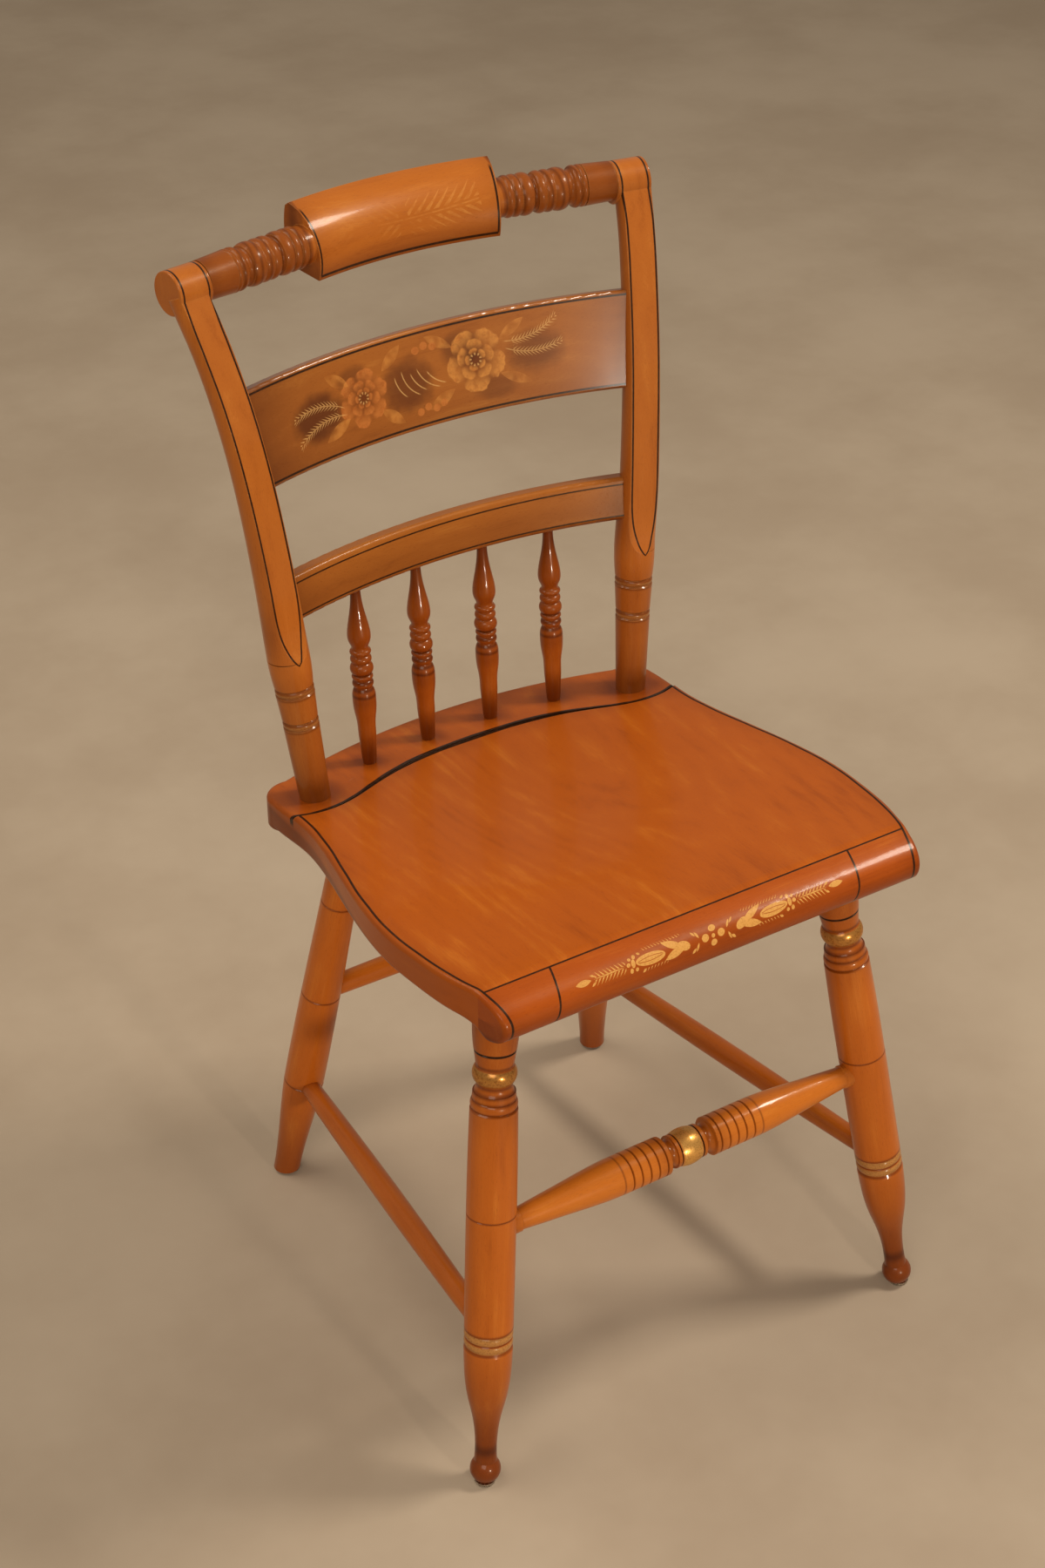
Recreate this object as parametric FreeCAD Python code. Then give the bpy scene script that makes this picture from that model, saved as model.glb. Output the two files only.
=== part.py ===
import FreeCAD, Part
import math
import os

# Stencilled side chair with turned legs, a plank seat and a bent back.
# Millimetres and degrees. The chair faces -Y, +Z is up, and left is -X.
# Heights are above the floor, depths are along Y from the middle of the seat plank.

VEC = FreeCAD.Vector
UP = VEC(0, 0, 1)

# Fits
socket_fit = 0.15
end_room = 0.5
overrun = 12.0

# Seat plank
seat_half_width = 203.1
seat_depth = 396.1
seat_nose_y = -200.5
seat_centre_height = 437.9
seat_tilt = 4.3
seat_thickness_front = 29.0
seat_thickness_middle = 26.0
seat_thickness_back = 31.0
seat_underside_front_y = -152.0
seat_underside_middle_y = 40.0
seat_edge_round = 3.6
nose_depth = 33.0
nose_height = 38.0
back_edge_radius = 457.0
back_corner_half_width = 155.0
back_corner_share = 0.35
seat_side_shares = [
    (0.890, -0.014), (0.908, 0.016), (0.929, 0.067), (0.966, 0.141), (0.990, 0.231), (1.000, 0.317),
    (0.982, 0.426), (0.936, 0.553), (0.890, 0.678), (0.878, 0.746), (0.883, 0.815), (0.884, 0.872)]
nose_shares = [(0.36, 0.055), (0.74, 0.19), (0.97, 0.42), (0.97, 0.66), (0.78, 0.88), (0.47, 0.985)]

# Saddle scoop, spindle platform and the groove between them
scoop_depth = 8.5
scoop_half_width = 168.0
scoop_centre_y = 52.0
scoop_shares = [(0.00, 1.00), (0.25, 0.86), (0.50, 0.51), (0.75, 0.16), (0.92, 0.02), (1.00, -0.02)]
platform_drop = 1.6
platform_extra_tilt = 1.6
groove_width = 3.2
groove_depth = 1.5
groove_front_y = 106.3
groove_rise = 32.4
groove_shares = [
    (0.00, 1.00), (0.22, 0.93), (0.37, 0.74), (0.51, 0.42), (0.62, 0.14), (0.72, 0.00),
    (0.79, 0.02), (0.85, 0.13), (0.93, 0.40), (1.03, 0.86)]

# Front legs: axis point at the joint height, foot on the floor, turned profile
leg_joint_height = 420.0
front_leg_top_x = 148.3
front_leg_top_y = -134.3
front_leg_foot_x = 202.75
front_leg_foot_y = -200.0
leg_tenon_radius = 10.5
leg_tenon_depth = 19.0
foot_ball_radius = 12.0
foot_ball_height = 11.5
ankle_radius = 8.9
front_calf_profile = [
    (32.0, 8.4), (47.0, 9.2), (60.5, 11.2), (77.0, 14.9), (99.0, 17.8), (112.0, 18.4), (121.3, 18.7)]
column_radius = 18.8
lower_bead_height = 124.5
bead_width = 7.0
bead_radius = 18.7
bead_groove_radius = 17.5
column_top_height = 325.8
scribe_depth = 0.5
front_scribe_height = 238.0
collar_bead_width = 7.0
collar_bead_radius = 17.6
collar_groove_radius = 16.6
collar_fillet_radius = 16.4
collar_fillet_width = 5.5
cove_radius = 14.2
torus_bottom_height = 347.9
torus_width = 13.5
torus_radius = 16.6
torus_root_radius = 14.0
line_height = 374.0
line_radius = 15.6
shoulder_height = 390.0
shoulder_radius = 17.2
front_leg_top_radius = 15.4

# Rear legs
rear_leg_top_x = 109.35
rear_leg_top_y = 128.05
rear_leg_foot_x = 160.54
rear_leg_foot_y = 196.61
rear_foot_radius = 11.2
rear_leg_max_radius = 17.1
rear_leg_top_radius = 13.4
rear_leg_swell_share = 0.28
rear_scribe_stations = [110.5, 211.2, 312.3]

# Glides under the feet
glide_height = 3.0
glide_radius = 8.2
glide_round = 1.2
glide_pin_radius = 1.3
glide_pin_length = 12.0

# Stretchers
side_front_height = 131.0
side_rear_height = 107.0
side_end_radius = 7.8
side_middle_radius = 9.7
rear_stretcher_height = 208.0
rear_stretcher_end_radius = 8.6
rear_stretcher_middle_radius = 9.8
front_stretcher_height = 217.5
stretcher_tenon_radius = 6.5
stretcher_tenon_depth = 11.0
front_stretcher_tenon_radius = 7.5
rear_leg_joint_radius = 16.5

# Turned front stretcher, half profile from the middle outwards
ball_half_length = 9.3
ball_radius = 14.9
ball_edge_radius = 13.2
collar_ring_end = 13.2
collar_ring_radius = 13.3
stretcher_cove_end = 20.8
stretcher_cove_radius = 9.8
rib_radius = 15.6
rib_groove_radius = 14.4
rib_first = 25.1
rib_pitch = 7.825
rib_count = 5
rib_groove_width = 1.5
front_stretcher_end_radius = 9.6
end_groove_depth = 0.9
end_groove_offset = 151.0
front_taper_shares = [(0.20, 0.93), (0.48, 0.58), (0.76, 0.20)]

# Back posts
post_foot_x = 148.1
post_foot_y = 131.5
post_foot_height = 426.7
post_straight_height = 548.0
post_straight_x = 157.8
post_straight_y = 144.6
post_radius = 16.4
post_top_radius = 14.2
post_foot_radius = 12.2
post_waist_radius = 14.0
post_tenon_radius = 8.0
post_tenon_depth = 20.0
post_lower_ring = 66.0
post_upper_ring = 94.5
post_ring_width = 5.2
post_ring_depth = 1.1
post_face_half_width = 12.0
post_yaw = 9.0
post_end_x = 190.6
post_end_y = 206.3
post_end_height = 827.0
post_bend_shares = [
    (0.165, 0.042, 0.128), (0.366, 0.141, 0.274), (0.552, 0.279, 0.427), (0.735, 0.496, 0.616),
    (0.880, 0.739, 0.814)]
post_face_shares = [
    (0.00, 1.48), (0.045, 1.18), (0.09, 1.04), (0.165, 1.00), (0.30, 1.00), (0.45, 1.00),
    (0.60, 1.00), (0.75, 1.00), (0.88, 1.00), (1.00, 1.00)]
head_x = 189.6
head_y = 213.6
head_height = 827.6
head_radius = 16.6
head_half_width = 14.2
head_round = 1.2

# Crest rail: turned ends and a bowed pillow
crest_height = 829.5
crest_end_y = 212.8
pillow_bow_angle = 13.5
pillow_end_y = 233.6
pillow_half_width = 81.9
pillow_front_radius = 39.4
pillow_front_low = (-15.5, -24.0)
pillow_front_high = (14.8, 28.2)
pillow_back_high = (18.6, 25.4)
pillow_back_mid = (20.6, 8.0)
pillow_back_low = (13.0, -20.8)
crest_drum_length = 28.5
crest_drum_radius = 15.0
crest_drum_end_radius = 16.0
crest_root_radius = 15.0
crest_end_length = 100.5
crest_end_beads = [
    (32.8, 16.2), (38.2, 16.2), (43.8, 12.9), (55.0, 16.5), (62.0, 16.2), (68.5, 16.2), (72.7, 12.9),
    (81.7, 16.4), (88.3, 16.2), (93.8, 16.2)]
crest_tenon_radius = 8.0
crest_tenon_depth = 16.0

# Slat and lower rail, bent to one bow
slat_bow_radius = 525.0
rail_bow_radius = 525.0
slat_half_span = 158.5
slat_height = 720.8
slat_face_y = 166.2
slat_width = 76.5
slat_thickness = 10.0
slat_lean = 13.6
slat_round = 2.2
rail_half_span = 146.7
rail_height = 594.8
rail_face_y = 145.3
rail_width = 35.0
rail_thickness = 15.0
rail_lean = 12.0
rail_round = 3.0
slat_end_lean_share = 0.107
rail_end_lean_share = 0.115
slat_tenon_width = 62.0
slat_tenon_thickness = 7.0
rail_tenon_width = 26.0
rail_tenon_thickness = 9.0
mortise_depth = 9.0

# Spindles
spindle_inner_x = 29.3
spindle_outer_x = 86.7
spindle_middle_foot_y = 159.7
spindle_foot_bow_radius = 560.0
spindle_spread = 1.0
spindle_set_back = 2.5
spindle_ball_radius = 9.25
spindle_ring_radius = 8.45
spindle_neck_radius = 7.0
spindle_tenon_radius = 3.6
spindle_tenon_depth = 13.0
spindle_lower_shares = [
    (0.000, 0.57), (0.030, 0.63), (0.100, 0.69), (0.170, 0.76), (0.245, 0.80), (0.315, 0.96),
    (0.378, 1.01), (0.420, 0.95), (0.443, 0.78)]
spindle_upper_shares = [
    (0.666, 0.73), (0.705, 0.90), (0.758, 0.98), (0.820, 0.81), (0.890, 0.585), (0.965, 0.45),
    (1.000, 0.445)]
spindle_ring_shares = [(0.449, 0.487), (0.493, 0.520)]
spindle_ball_shares = (0.522, 0.585)
spindle_top_ring_shares = [(0.587, 0.626), (0.634, 0.662)]


# Turning

class Lathe:
    """A half profile drawn along a turning axis, spun into a solid."""

    def __init__(self, station, radius):
        self.start = VEC(radius, 0, station)
        self.edges = []
        self.last = self.start

    def line(self, station, radius):
        """Straight run to a station and radius."""
        point = VEC(radius, 0, station)
        if point.distanceToPoint(self.last) > 0:
            self.edges.append(Part.LineSegment(self.last, point).toShape())
        self.last = point
        return self

    def arc(self, station, radius, middle_radius):
        """Bead or cove to a station, through a middle radius."""
        point = VEC(radius, 0, station)
        middle = VEC(middle_radius, 0, (self.last.z + station) / 2)
        self.edges.append(Part.Arc(self.last, middle, point).toShape())
        self.last = point
        return self

    def sweep(self, points):
        """Smooth swell through stations and radii."""
        stops = [self.last] + [VEC(radius, 0, station) for station, radius in points]
        curve = Part.BSplineCurve()
        curve.interpolate(stops)
        self.edges.append(curve.toShape())
        self.last = stops[-1]
        return self

    def solid(self):
        """Spin the profile about its axis."""
        foot = VEC(0, 0, self.start.z)
        head = VEC(0, 0, self.last.z)
        edges = [Part.LineSegment(foot, self.start).toShape()] + self.edges
        edges.append(Part.LineSegment(self.last, head).toShape())
        edges.append(Part.LineSegment(head, foot).toShape())
        return Part.Face(Part.Wire(edges)).revolve(VEC(0, 0, 0), UP, 360)


def aligned(shape, foot, head):
    """A shape drawn along Z, laid along the line from foot to head."""
    laid = shape.copy()
    laid.Placement = FreeCAD.Placement(foot, FreeCAD.Rotation(UP, head - foot)).multiply(laid.Placement)
    return laid


def rod(foot, head, radius, before=0.0, after=0.0):
    """Round rod along a line, longer than it at either end."""
    direction = (head - foot).normalize()
    length = foot.distanceToPoint(head) + before + after
    return Part.makeCylinder(radius, length, foot - direction * before, direction)


def largest(shape):
    """The biggest solid of a cut shape."""
    return max(shape.Solids, key=lambda solid: solid.Volume)


def mirrored(shape):
    """The same piece on the other side of the chair."""
    return shape.mirror(VEC(0, 0, 0), VEC(1, 0, 0))


def spline_edge(points):
    """Smooth edge through points."""
    curve = Part.BSplineCurve()
    curve.interpolate(points)
    return curve.toShape()


# Seat

def seat_top_height(depth):
    """Height of the flat top of the plank at a depth."""
    return seat_centre_height - depth * math.tan(math.radians(seat_tilt))


def seat_plan():
    """Outline of the plank from above, from the nose round both sides."""
    side = [
        VEC(seat_half_width * wide, seat_nose_y + seat_depth * deep, 0) for wide, deep in seat_side_shares]
    back_y = seat_nose_y + seat_depth
    drop = back_edge_radius - math.sqrt(back_edge_radius ** 2 - back_corner_half_width ** 2)
    back_corner = VEC(back_corner_half_width, back_y - drop, 0)
    whole = 1 + back_corner_share
    middle_x = (side[-1].x + back_corner.x * back_corner_share) / whole
    middle_y = (side[-1].y * back_corner_share + back_corner.y) / whole
    corner_middle = VEC(middle_x, middle_y, 0)
    flip = [VEC(-point.x, point.y, 0) for point in side]
    flip_corner = VEC(-back_corner.x, back_corner.y, 0)
    flip_middle = VEC(-corner_middle.x, corner_middle.y, 0)
    edges = [
        Part.LineSegment(flip[0], side[0]).toShape(),
        spline_edge(side),
        Part.Arc(side[-1], corner_middle, back_corner).toShape(),
        Part.Arc(back_corner, VEC(0, back_y, 0), flip_corner).toShape(),
        Part.Arc(flip_corner, flip_middle, flip[-1]).toShape(),
        spline_edge(flip[::-1])]
    return Part.Face(Part.Wire(edges))


def seat_section():
    """Side profile of the plank: sloping top, rolled nose and a slightly arched underside."""
    roll_y = seat_nose_y + nose_depth
    back_y = seat_nose_y + seat_depth + overrun
    top_front = VEC(0, roll_y, seat_top_height(roll_y))
    top_back = VEC(0, back_y, seat_top_height(back_y))
    front_height = seat_top_height(seat_underside_front_y) - seat_thickness_front
    middle_height = seat_top_height(seat_underside_middle_y) - seat_thickness_middle
    under_front = VEC(0, seat_underside_front_y, front_height)
    under_middle = VEC(0, seat_underside_middle_y, middle_height)
    under_back = VEC(0, back_y, seat_top_height(back_y) - seat_thickness_back)
    nose = [top_front]
    for ahead, down in nose_shares:
        nose.append(VEC(0, roll_y - nose_depth * ahead, top_front.z - nose_height * down))
    nose.append(under_front)
    roll = Part.BSplineCurve()
    roll.interpolate(
        Points=nose, InitialTangent=top_front - top_back, FinalTangent=under_middle - under_front)
    edges = [
        Part.LineSegment(top_back, top_front).toShape(),
        roll.toShape(),
        Part.Arc(under_front, under_middle, under_back).toShape(),
        Part.LineSegment(under_back, top_back).toShape()]
    return Part.Face(Part.Wire(edges))


def groove_curve(shift):
    """Line of the groove across the seat, moved back by a shift."""
    half = [
        (seat_half_width * wide, groove_front_y + groove_rise * back + shift) for wide, back in groove_shares]
    points = [VEC(-wide, deep, 0) for wide, deep in half[:0:-1]] + [VEC(wide, deep, 0) for wide, deep in half]
    return points


def region_behind(points):
    """Plan area between a line across the seat and a line behind the plank."""
    back_y = seat_nose_y + seat_depth + overrun
    left = VEC(points[0].x, back_y, 0)
    right = VEC(points[-1].x, back_y, 0)
    edges = [
        spline_edge(points),
        Part.LineSegment(points[-1], right).toShape(),
        Part.LineSegment(right, left).toShape(),
        Part.LineSegment(left, points[0]).toShape()]
    return Part.Face(Part.Wire(edges))


def platform_height(depth):
    """Height of the spindle platform, which falls away faster than the top."""
    fall = (depth - groove_front_y) * math.tan(math.radians(seat_tilt + platform_extra_tilt))
    return seat_top_height(groove_front_y) - platform_drop - fall


def above_platform(front_y, lower):
    """Wedge of space above the platform plane from a depth backwards, lowered a little."""
    back_y = seat_nose_y + seat_depth + 2 * overrun
    reach = seat_half_width + overrun
    roof = seat_top_height(front_y) + 2 * overrun
    corners = [
        VEC(-reach, front_y, platform_height(front_y) - lower),
        VEC(-reach, back_y, platform_height(back_y) - lower),
        VEC(-reach, back_y, roof),
        VEC(-reach, front_y, roof)]
    return Part.Face(Part.makePolygon(corners + corners[:1])).extrude(VEC(2 * reach, 0, 0))


def upright(face):
    """Plan area raised through the plank."""
    low = seat_top_height(seat_nose_y + seat_depth) - 2 * seat_thickness_back
    tall = 4 * seat_thickness_back + nose_height
    raised = face.copy()
    raised.translate(VEC(0, 0, low))
    return raised.extrude(VEC(0, 0, tall))


def scoop_tool():
    """Shallow bell that dishes the saddle and fades out at its rim."""
    bell = [VEC(scoop_half_width * wide, 0, -scoop_depth * deep) for wide, deep in scoop_shares]
    curve = Part.BSplineCurve()
    curve.interpolate(Points=bell, InitialTangent=VEC(1, 0, 0), FinalTangent=bell[-1] - bell[-2])
    rim = VEC(scoop_half_width, 0, overrun)
    edges = [
        curve.toShape(),
        Part.LineSegment(bell[-1], rim).toShape(),
        Part.LineSegment(rim, VEC(0, 0, overrun)).toShape(),
        Part.LineSegment(VEC(0, 0, overrun), bell[0]).toShape()]
    tool = Part.Face(Part.Wire(edges)).revolve(VEC(0, 0, 0), UP, 360)
    tool.rotate(VEC(0, 0, 0), VEC(1, 0, 0), -seat_tilt)
    tool.translate(VEC(0, scoop_centre_y, seat_top_height(scoop_centre_y)))
    return tool.cut(upright(region_behind(groove_curve(0))))


def is_top_outline(edge):
    """True for the curved top edges of the plank and the ends of its nose."""
    middle = edge.valueAt((edge.FirstParameter + edge.LastParameter) / 2)
    is_high = middle.z > seat_top_height(middle.y) - seat_thickness_front / 2
    return not isinstance(edge.Curve, Part.Line) and (is_high or middle.y < seat_underside_front_y)


def rounded_plank(plank, front_y):
    """Plank with its top outline rounded behind a depth."""
    edges = [edge for edge in plank.Edges if is_top_outline(edge) and edge.BoundBox.YMax > front_y]
    return plank.makeFillet(seat_edge_round, edges)


def seat_blank():
    """Plank with its outline, nose and rounded edges, stepped down to the spindle platform."""
    section = seat_section()
    section.translate(VEC(-seat_half_width - overrun, 0, 0))
    plank = upright(seat_plan()).common(section.extrude(VEC(2 * (seat_half_width + overrun), 0, 0)))
    front = rounded_plank(plank, seat_nose_y).cut(upright(region_behind(groove_curve(0))))
    crease_y = groove_front_y - platform_drop / math.tan(math.radians(platform_extra_tilt))
    lowered = rounded_plank(plank.cut(above_platform(crease_y - overrun, 0)), groove_front_y)
    back = lowered.common(upright(region_behind(groove_curve(0))))
    return front.fuse(back)


def shaped_seat():
    """Seat with its saddle scoop and groove, before it is bored."""
    seat = seat_blank().cut(scoop_tool())
    band = upright(region_behind(groove_curve(-groove_width))).cut(upright(region_behind(groove_curve(0))))
    return seat.cut(band.common(above_platform(groove_front_y - overrun, groove_depth)))


def bored_seat(seat):
    """Seat with the sockets for both sides' legs, posts and spindles."""
    for foot, head, radius, depth in seat_joints():
        tool = rod(foot, head, radius + socket_fit, depth + end_room, 0)
        seat = seat.cut(tool).cut(mirrored(tool))
    return seat


# Leg geometry

def front_leg_axis():
    """Foot and joint point of the right front leg."""
    return VEC(front_leg_foot_x, front_leg_foot_y, 0), VEC(front_leg_top_x, front_leg_top_y, leg_joint_height)


def rear_leg_axis():
    """Foot and joint point of the right rear leg."""
    return VEC(rear_leg_foot_x, rear_leg_foot_y, 0), VEC(rear_leg_top_x, rear_leg_top_y, leg_joint_height)


def point_at_height(axis, height):
    """Point of a leg axis at a height above the floor."""
    foot, head = axis
    return foot + (head - foot) * (height / head.z)


def underside_height(depth):
    """Height of the underside at a depth, along its chord from front to middle."""
    front = seat_top_height(seat_underside_front_y) - seat_thickness_front
    middle = seat_top_height(seat_underside_middle_y) - seat_thickness_middle
    share = (depth - seat_underside_front_y) / (seat_underside_middle_y - seat_underside_front_y)
    return front + (middle - front) * share


def leg_reach(axis):
    """Length of a leg's turning, which runs up into the seat plank and is cut to its underside."""
    return axis[0].distanceToPoint(point_at_height(axis, seat_top_height(axis[1].y)))


def leg_joint(axis):
    """Shoulder, point well below it, radius and depth of a leg's joint in the seat."""
    shoulder = point_at_height(axis, underside_height(axis[1].y))
    below = point_at_height(axis, shoulder.z - 2 * overrun)
    return shoulder, below, leg_tenon_radius, leg_tenon_depth


def seat_joints():
    """Shoulder, point beyond it, radius and depth of every right-hand joint in the seat."""
    post_foot, post_top = post_axis()
    joints = [leg_joint(front_leg_axis()), leg_joint(rear_leg_axis())]
    joints.append((post_foot, beyond(post_foot, post_top), post_tenon_radius, post_tenon_depth))
    for across in (spindle_inner_x, spindle_outer_x):
        foot, head = spindle_axis(across)
        joints.append((foot, beyond(foot, head), spindle_tenon_radius, spindle_tenon_depth))
    return joints


def beyond(start, end):
    """Point one overrun along the way from a start to an end."""
    return start + (end - start).normalize() * overrun


def front_leg_turning():
    """Turned front leg from the ball foot to the shoulder under the seat."""
    top = leg_reach(front_leg_axis())
    low = foot_ball_height - foot_ball_radius + glide_round
    neck = foot_ball_height + math.sqrt(foot_ball_radius ** 2 - ankle_radius ** 2)
    belly = math.sqrt(foot_ball_radius ** 2 - ((low + neck) / 2 - foot_ball_height) ** 2)
    lathe = Lathe(low, math.sqrt(foot_ball_radius ** 2 - (foot_ball_height - low) ** 2))
    lathe.arc(neck, ankle_radius, belly)
    lathe.sweep(front_calf_profile)
    lathe.line(lower_bead_height, bead_groove_radius)
    lathe.arc(lathe.last.z + bead_width, bead_groove_radius, bead_radius)
    lathe.arc(lathe.last.z + bead_width, bead_groove_radius, bead_radius)
    lathe.line(lathe.last.z + scribe_depth, bead_radius)
    lathe.sweep([
        ((front_scribe_height + lathe.last.z) / 2, column_radius),
        (front_scribe_height - scribe_depth, column_radius)])
    lathe.line(front_scribe_height, column_radius - scribe_depth)
    lathe.line(front_scribe_height + scribe_depth, column_radius)
    lathe.sweep([
        ((front_scribe_height + column_top_height) / 2, column_radius - scribe_depth / 2),
        (column_top_height, column_radius - 2 * scribe_depth)])
    lathe.line(column_top_height + 2 * scribe_depth, collar_groove_radius)
    lathe.arc(lathe.last.z + collar_bead_width, collar_groove_radius, collar_bead_radius)
    lathe.line(lathe.last.z + scribe_depth, collar_groove_radius - scribe_depth)
    lathe.line(lathe.last.z + scribe_depth, collar_fillet_radius)
    lathe.line(lathe.last.z + collar_fillet_width, collar_fillet_radius - scribe_depth)
    lathe.line(lathe.last.z, (collar_fillet_radius + cove_radius) / 2)
    lathe.arc(torus_bottom_height, torus_root_radius, cove_radius - scribe_depth)
    lathe.arc(torus_bottom_height + torus_width, torus_root_radius, torus_radius)
    lathe.line(line_height - scribe_depth, line_radius)
    lathe.line(line_height, line_radius - scribe_depth)
    lathe.line(line_height + scribe_depth, line_radius + scribe_depth / 2)
    lathe.sweep([
        (shoulder_height, shoulder_radius),
        ((shoulder_height + top) / 2, (shoulder_radius + front_leg_top_radius) / 2),
        (top, front_leg_top_radius)])
    return lathe.solid()


def rear_leg_radius(share):
    """Radius of the rear leg at a share of its length: full near the foot, then a long taper."""
    if share < rear_leg_swell_share:
        rise = math.sin(math.pi / 2 * share / rear_leg_swell_share) ** 2
        return rear_foot_radius + (rear_leg_max_radius - rear_foot_radius) * rise
    fall = (share - rear_leg_swell_share) / (1 - rear_leg_swell_share)
    fullness = (1 + math.cos(math.pi * fall)) / 2
    return rear_leg_top_radius + (rear_leg_max_radius - rear_leg_top_radius) * fullness


def rear_leg_turning():
    """Swelled rear leg with its scribed rings."""
    length = leg_reach(rear_leg_axis())
    lathe = Lathe(-overrun, rear_foot_radius)
    lathe.line(0, rear_foot_radius)
    for station in rear_scribe_stations:
        start = lathe.last.z
        stops = [start + (station - scribe_depth - start) * third / 3 for third in (1, 2, 3)]
        lathe.sweep([(stop, rear_leg_radius(stop / length)) for stop in stops])
        lathe.line(station, rear_leg_radius(station / length) - scribe_depth)
        lathe.line(station + scribe_depth, rear_leg_radius((station + scribe_depth) / length))
    start = lathe.last.z
    stops = [start + (length - start) * third / 3 for third in (1, 2, 3)]
    lathe.sweep([(stop, rear_leg_radius(stop / length)) for stop in stops])
    return lathe.solid()


def make_leg(turning, axis, seat, joints):
    """Right-hand leg: laid along its axis, cut level at the foot, shouldered under the seat and bored."""
    foot, head = axis
    reach = 4 * column_radius
    corner = VEC(foot.x - reach, foot.y - reach, glide_height - reach)
    ground = Part.makeBox(2 * reach, 2 * reach, reach, corner)
    leg = largest(aligned(turning, foot, head).cut(ground).cut(seat))
    shoulder, below, radius, depth = leg_joint(axis)
    leg = leg.fuse(rod(shoulder, below, radius, depth, 0))
    for inner, outer, radius in joints:
        leg = leg.cut(rod(inner, outer, radius + socket_fit, end_room, 0))
    pin_foot = foot + UP * glide_height
    pin_head = pin_foot + UP * glide_pin_length
    leg = leg.cut(rod(pin_foot, pin_head, glide_pin_radius + socket_fit, end_room, end_room))
    return leg.removeSplitter()


def make_glide(axis):
    """Domed metal glide with its nail, under a foot."""
    foot = axis[0]
    disc = Part.makeCylinder(glide_radius, glide_height, foot)
    rim = [edge for edge in disc.Edges if edge.BoundBox.ZMax < glide_height / 2]
    disc = disc.makeFillet(glide_round, rim)
    return disc.fuse(Part.makeCylinder(glide_pin_radius, glide_pin_length, foot + UP * glide_height))


# Stretchers

def side_stretcher_line():
    """Ends of the right side stretcher on the leg axes, rear end first."""
    rear_end = point_at_height(rear_leg_axis(), side_rear_height)
    return rear_end, point_at_height(front_leg_axis(), side_front_height)


def cross_line(axis, height):
    """Ends of a stretcher across the chair on a pair of leg axes, left end first."""
    right = point_at_height(axis, height)
    return VEC(-right.x, right.y, right.z), right


def stretcher_joint(inside, outside, leg_radius, radius):
    """Inner end, point beyond the shoulder and radius of a stretcher's round tenon."""
    way = (outside - inside).normalize()
    return inside + way * (leg_radius - stretcher_tenon_depth), inside + way * (2 * leg_radius), radius


def swelled_turning(length, end_radius, middle_radius):
    """Plain stretcher, fullest in the middle."""
    swell = middle_radius - end_radius
    lathe = Lathe(0, end_radius)
    quarters = [quarter / 4 for quarter in (1, 2, 3, 4)]
    lathe.sweep([(length * share, end_radius + swell * math.sin(math.pi * share)) for share in quarters])
    return lathe.solid()


def front_half_turning(length):
    """Half of the turned front stretcher, from the middle of its ball to a leg."""
    lathe = Lathe(0, ball_radius)
    lathe.sweep([
        (ball_half_length / 2, ball_radius - (ball_radius - ball_edge_radius) / 4),
        (ball_half_length, ball_edge_radius)])
    lathe.line(ball_half_length + scribe_depth, ball_edge_radius - 2 * scribe_depth)
    lathe.line(ball_half_length + 2 * scribe_depth, collar_ring_radius)
    lathe.line(collar_ring_end, collar_ring_radius)
    lathe.line(collar_ring_end, (collar_ring_radius + stretcher_cove_radius) / 2)
    lathe.arc(stretcher_cove_end, rib_groove_radius, stretcher_cove_radius)
    lathe.line(stretcher_cove_end + scribe_depth, rib_radius)
    for number in range(rib_count):
        centre = rib_first + number * rib_pitch
        lathe.line(centre - rib_groove_width / 2, rib_radius)
        lathe.line(centre, rib_groove_radius)
        lathe.line(centre + rib_groove_width / 2, rib_radius)
    start = lathe.last.z
    run = end_groove_offset - end_groove_depth - start
    taper = rib_radius - front_stretcher_end_radius
    stops = [(start + run * at, front_stretcher_end_radius + taper * full) for at, full in front_taper_shares]
    lathe.sweep(stops)
    lathe.line(end_groove_offset, front_stretcher_end_radius - end_groove_depth)
    lathe.line(end_groove_offset + end_groove_depth, front_stretcher_end_radius)
    lathe.line(length, front_stretcher_end_radius)
    return lathe.solid()


def front_stretcher_turning(length):
    """Whole front stretcher, drawn from its left end."""
    half = front_half_turning(length / 2)
    whole = half.fuse(half.mirror(VEC(0, 0, 0), UP)).removeSplitter()
    whole.translate(UP * (length / 2))
    return whole


def make_stretcher(turning, line, turnings, joints):
    """Stretcher shouldered against the legs at both ends, with its round tenons."""
    body = aligned(turning, line[0], line[1])
    for leg in turnings:
        body = body.cut(leg)
    body = largest(body)
    for inner, outer, radius in joints:
        body = body.fuse(rod(inner, outer, radius))
    return body.removeSplitter()


# Back posts

def post_axis():
    """Foot on the seat and top of the straight turned part of the right post."""
    foot = VEC(post_foot_x, post_foot_y, post_foot_height)
    return foot, VEC(post_straight_x, post_straight_y, post_straight_height)


def head_centre():
    """Middle of the round head of the right post."""
    return VEC(head_x, head_y, head_height)


def width_way():
    """Level direction across the face of the right post."""
    return VEC(math.cos(math.radians(post_yaw)), -math.sin(math.radians(post_yaw)), 0)


def post_path():
    """Centre line of the bent part of the right post, up into its head."""
    foot, start = post_axis()
    end = VEC(post_end_x, post_end_y, post_end_height)
    span = end - start
    points = [start]
    for up, back, out in post_bend_shares:
        points.append(start + VEC(span.x * out, span.y * back, span.z * up))
    points.append(end)
    curve = Part.BSplineCurve()
    curve.interpolate(Points=points, InitialTangent=start - foot, FinalTangent=points[-1] - points[-2])
    return curve


def post_bend_radius(share):
    """Radius of the bent part at a share of its length, slimmer towards the head."""
    return post_top_radius + (post_radius - post_top_radius) * (1 - share) ** 2


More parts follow.
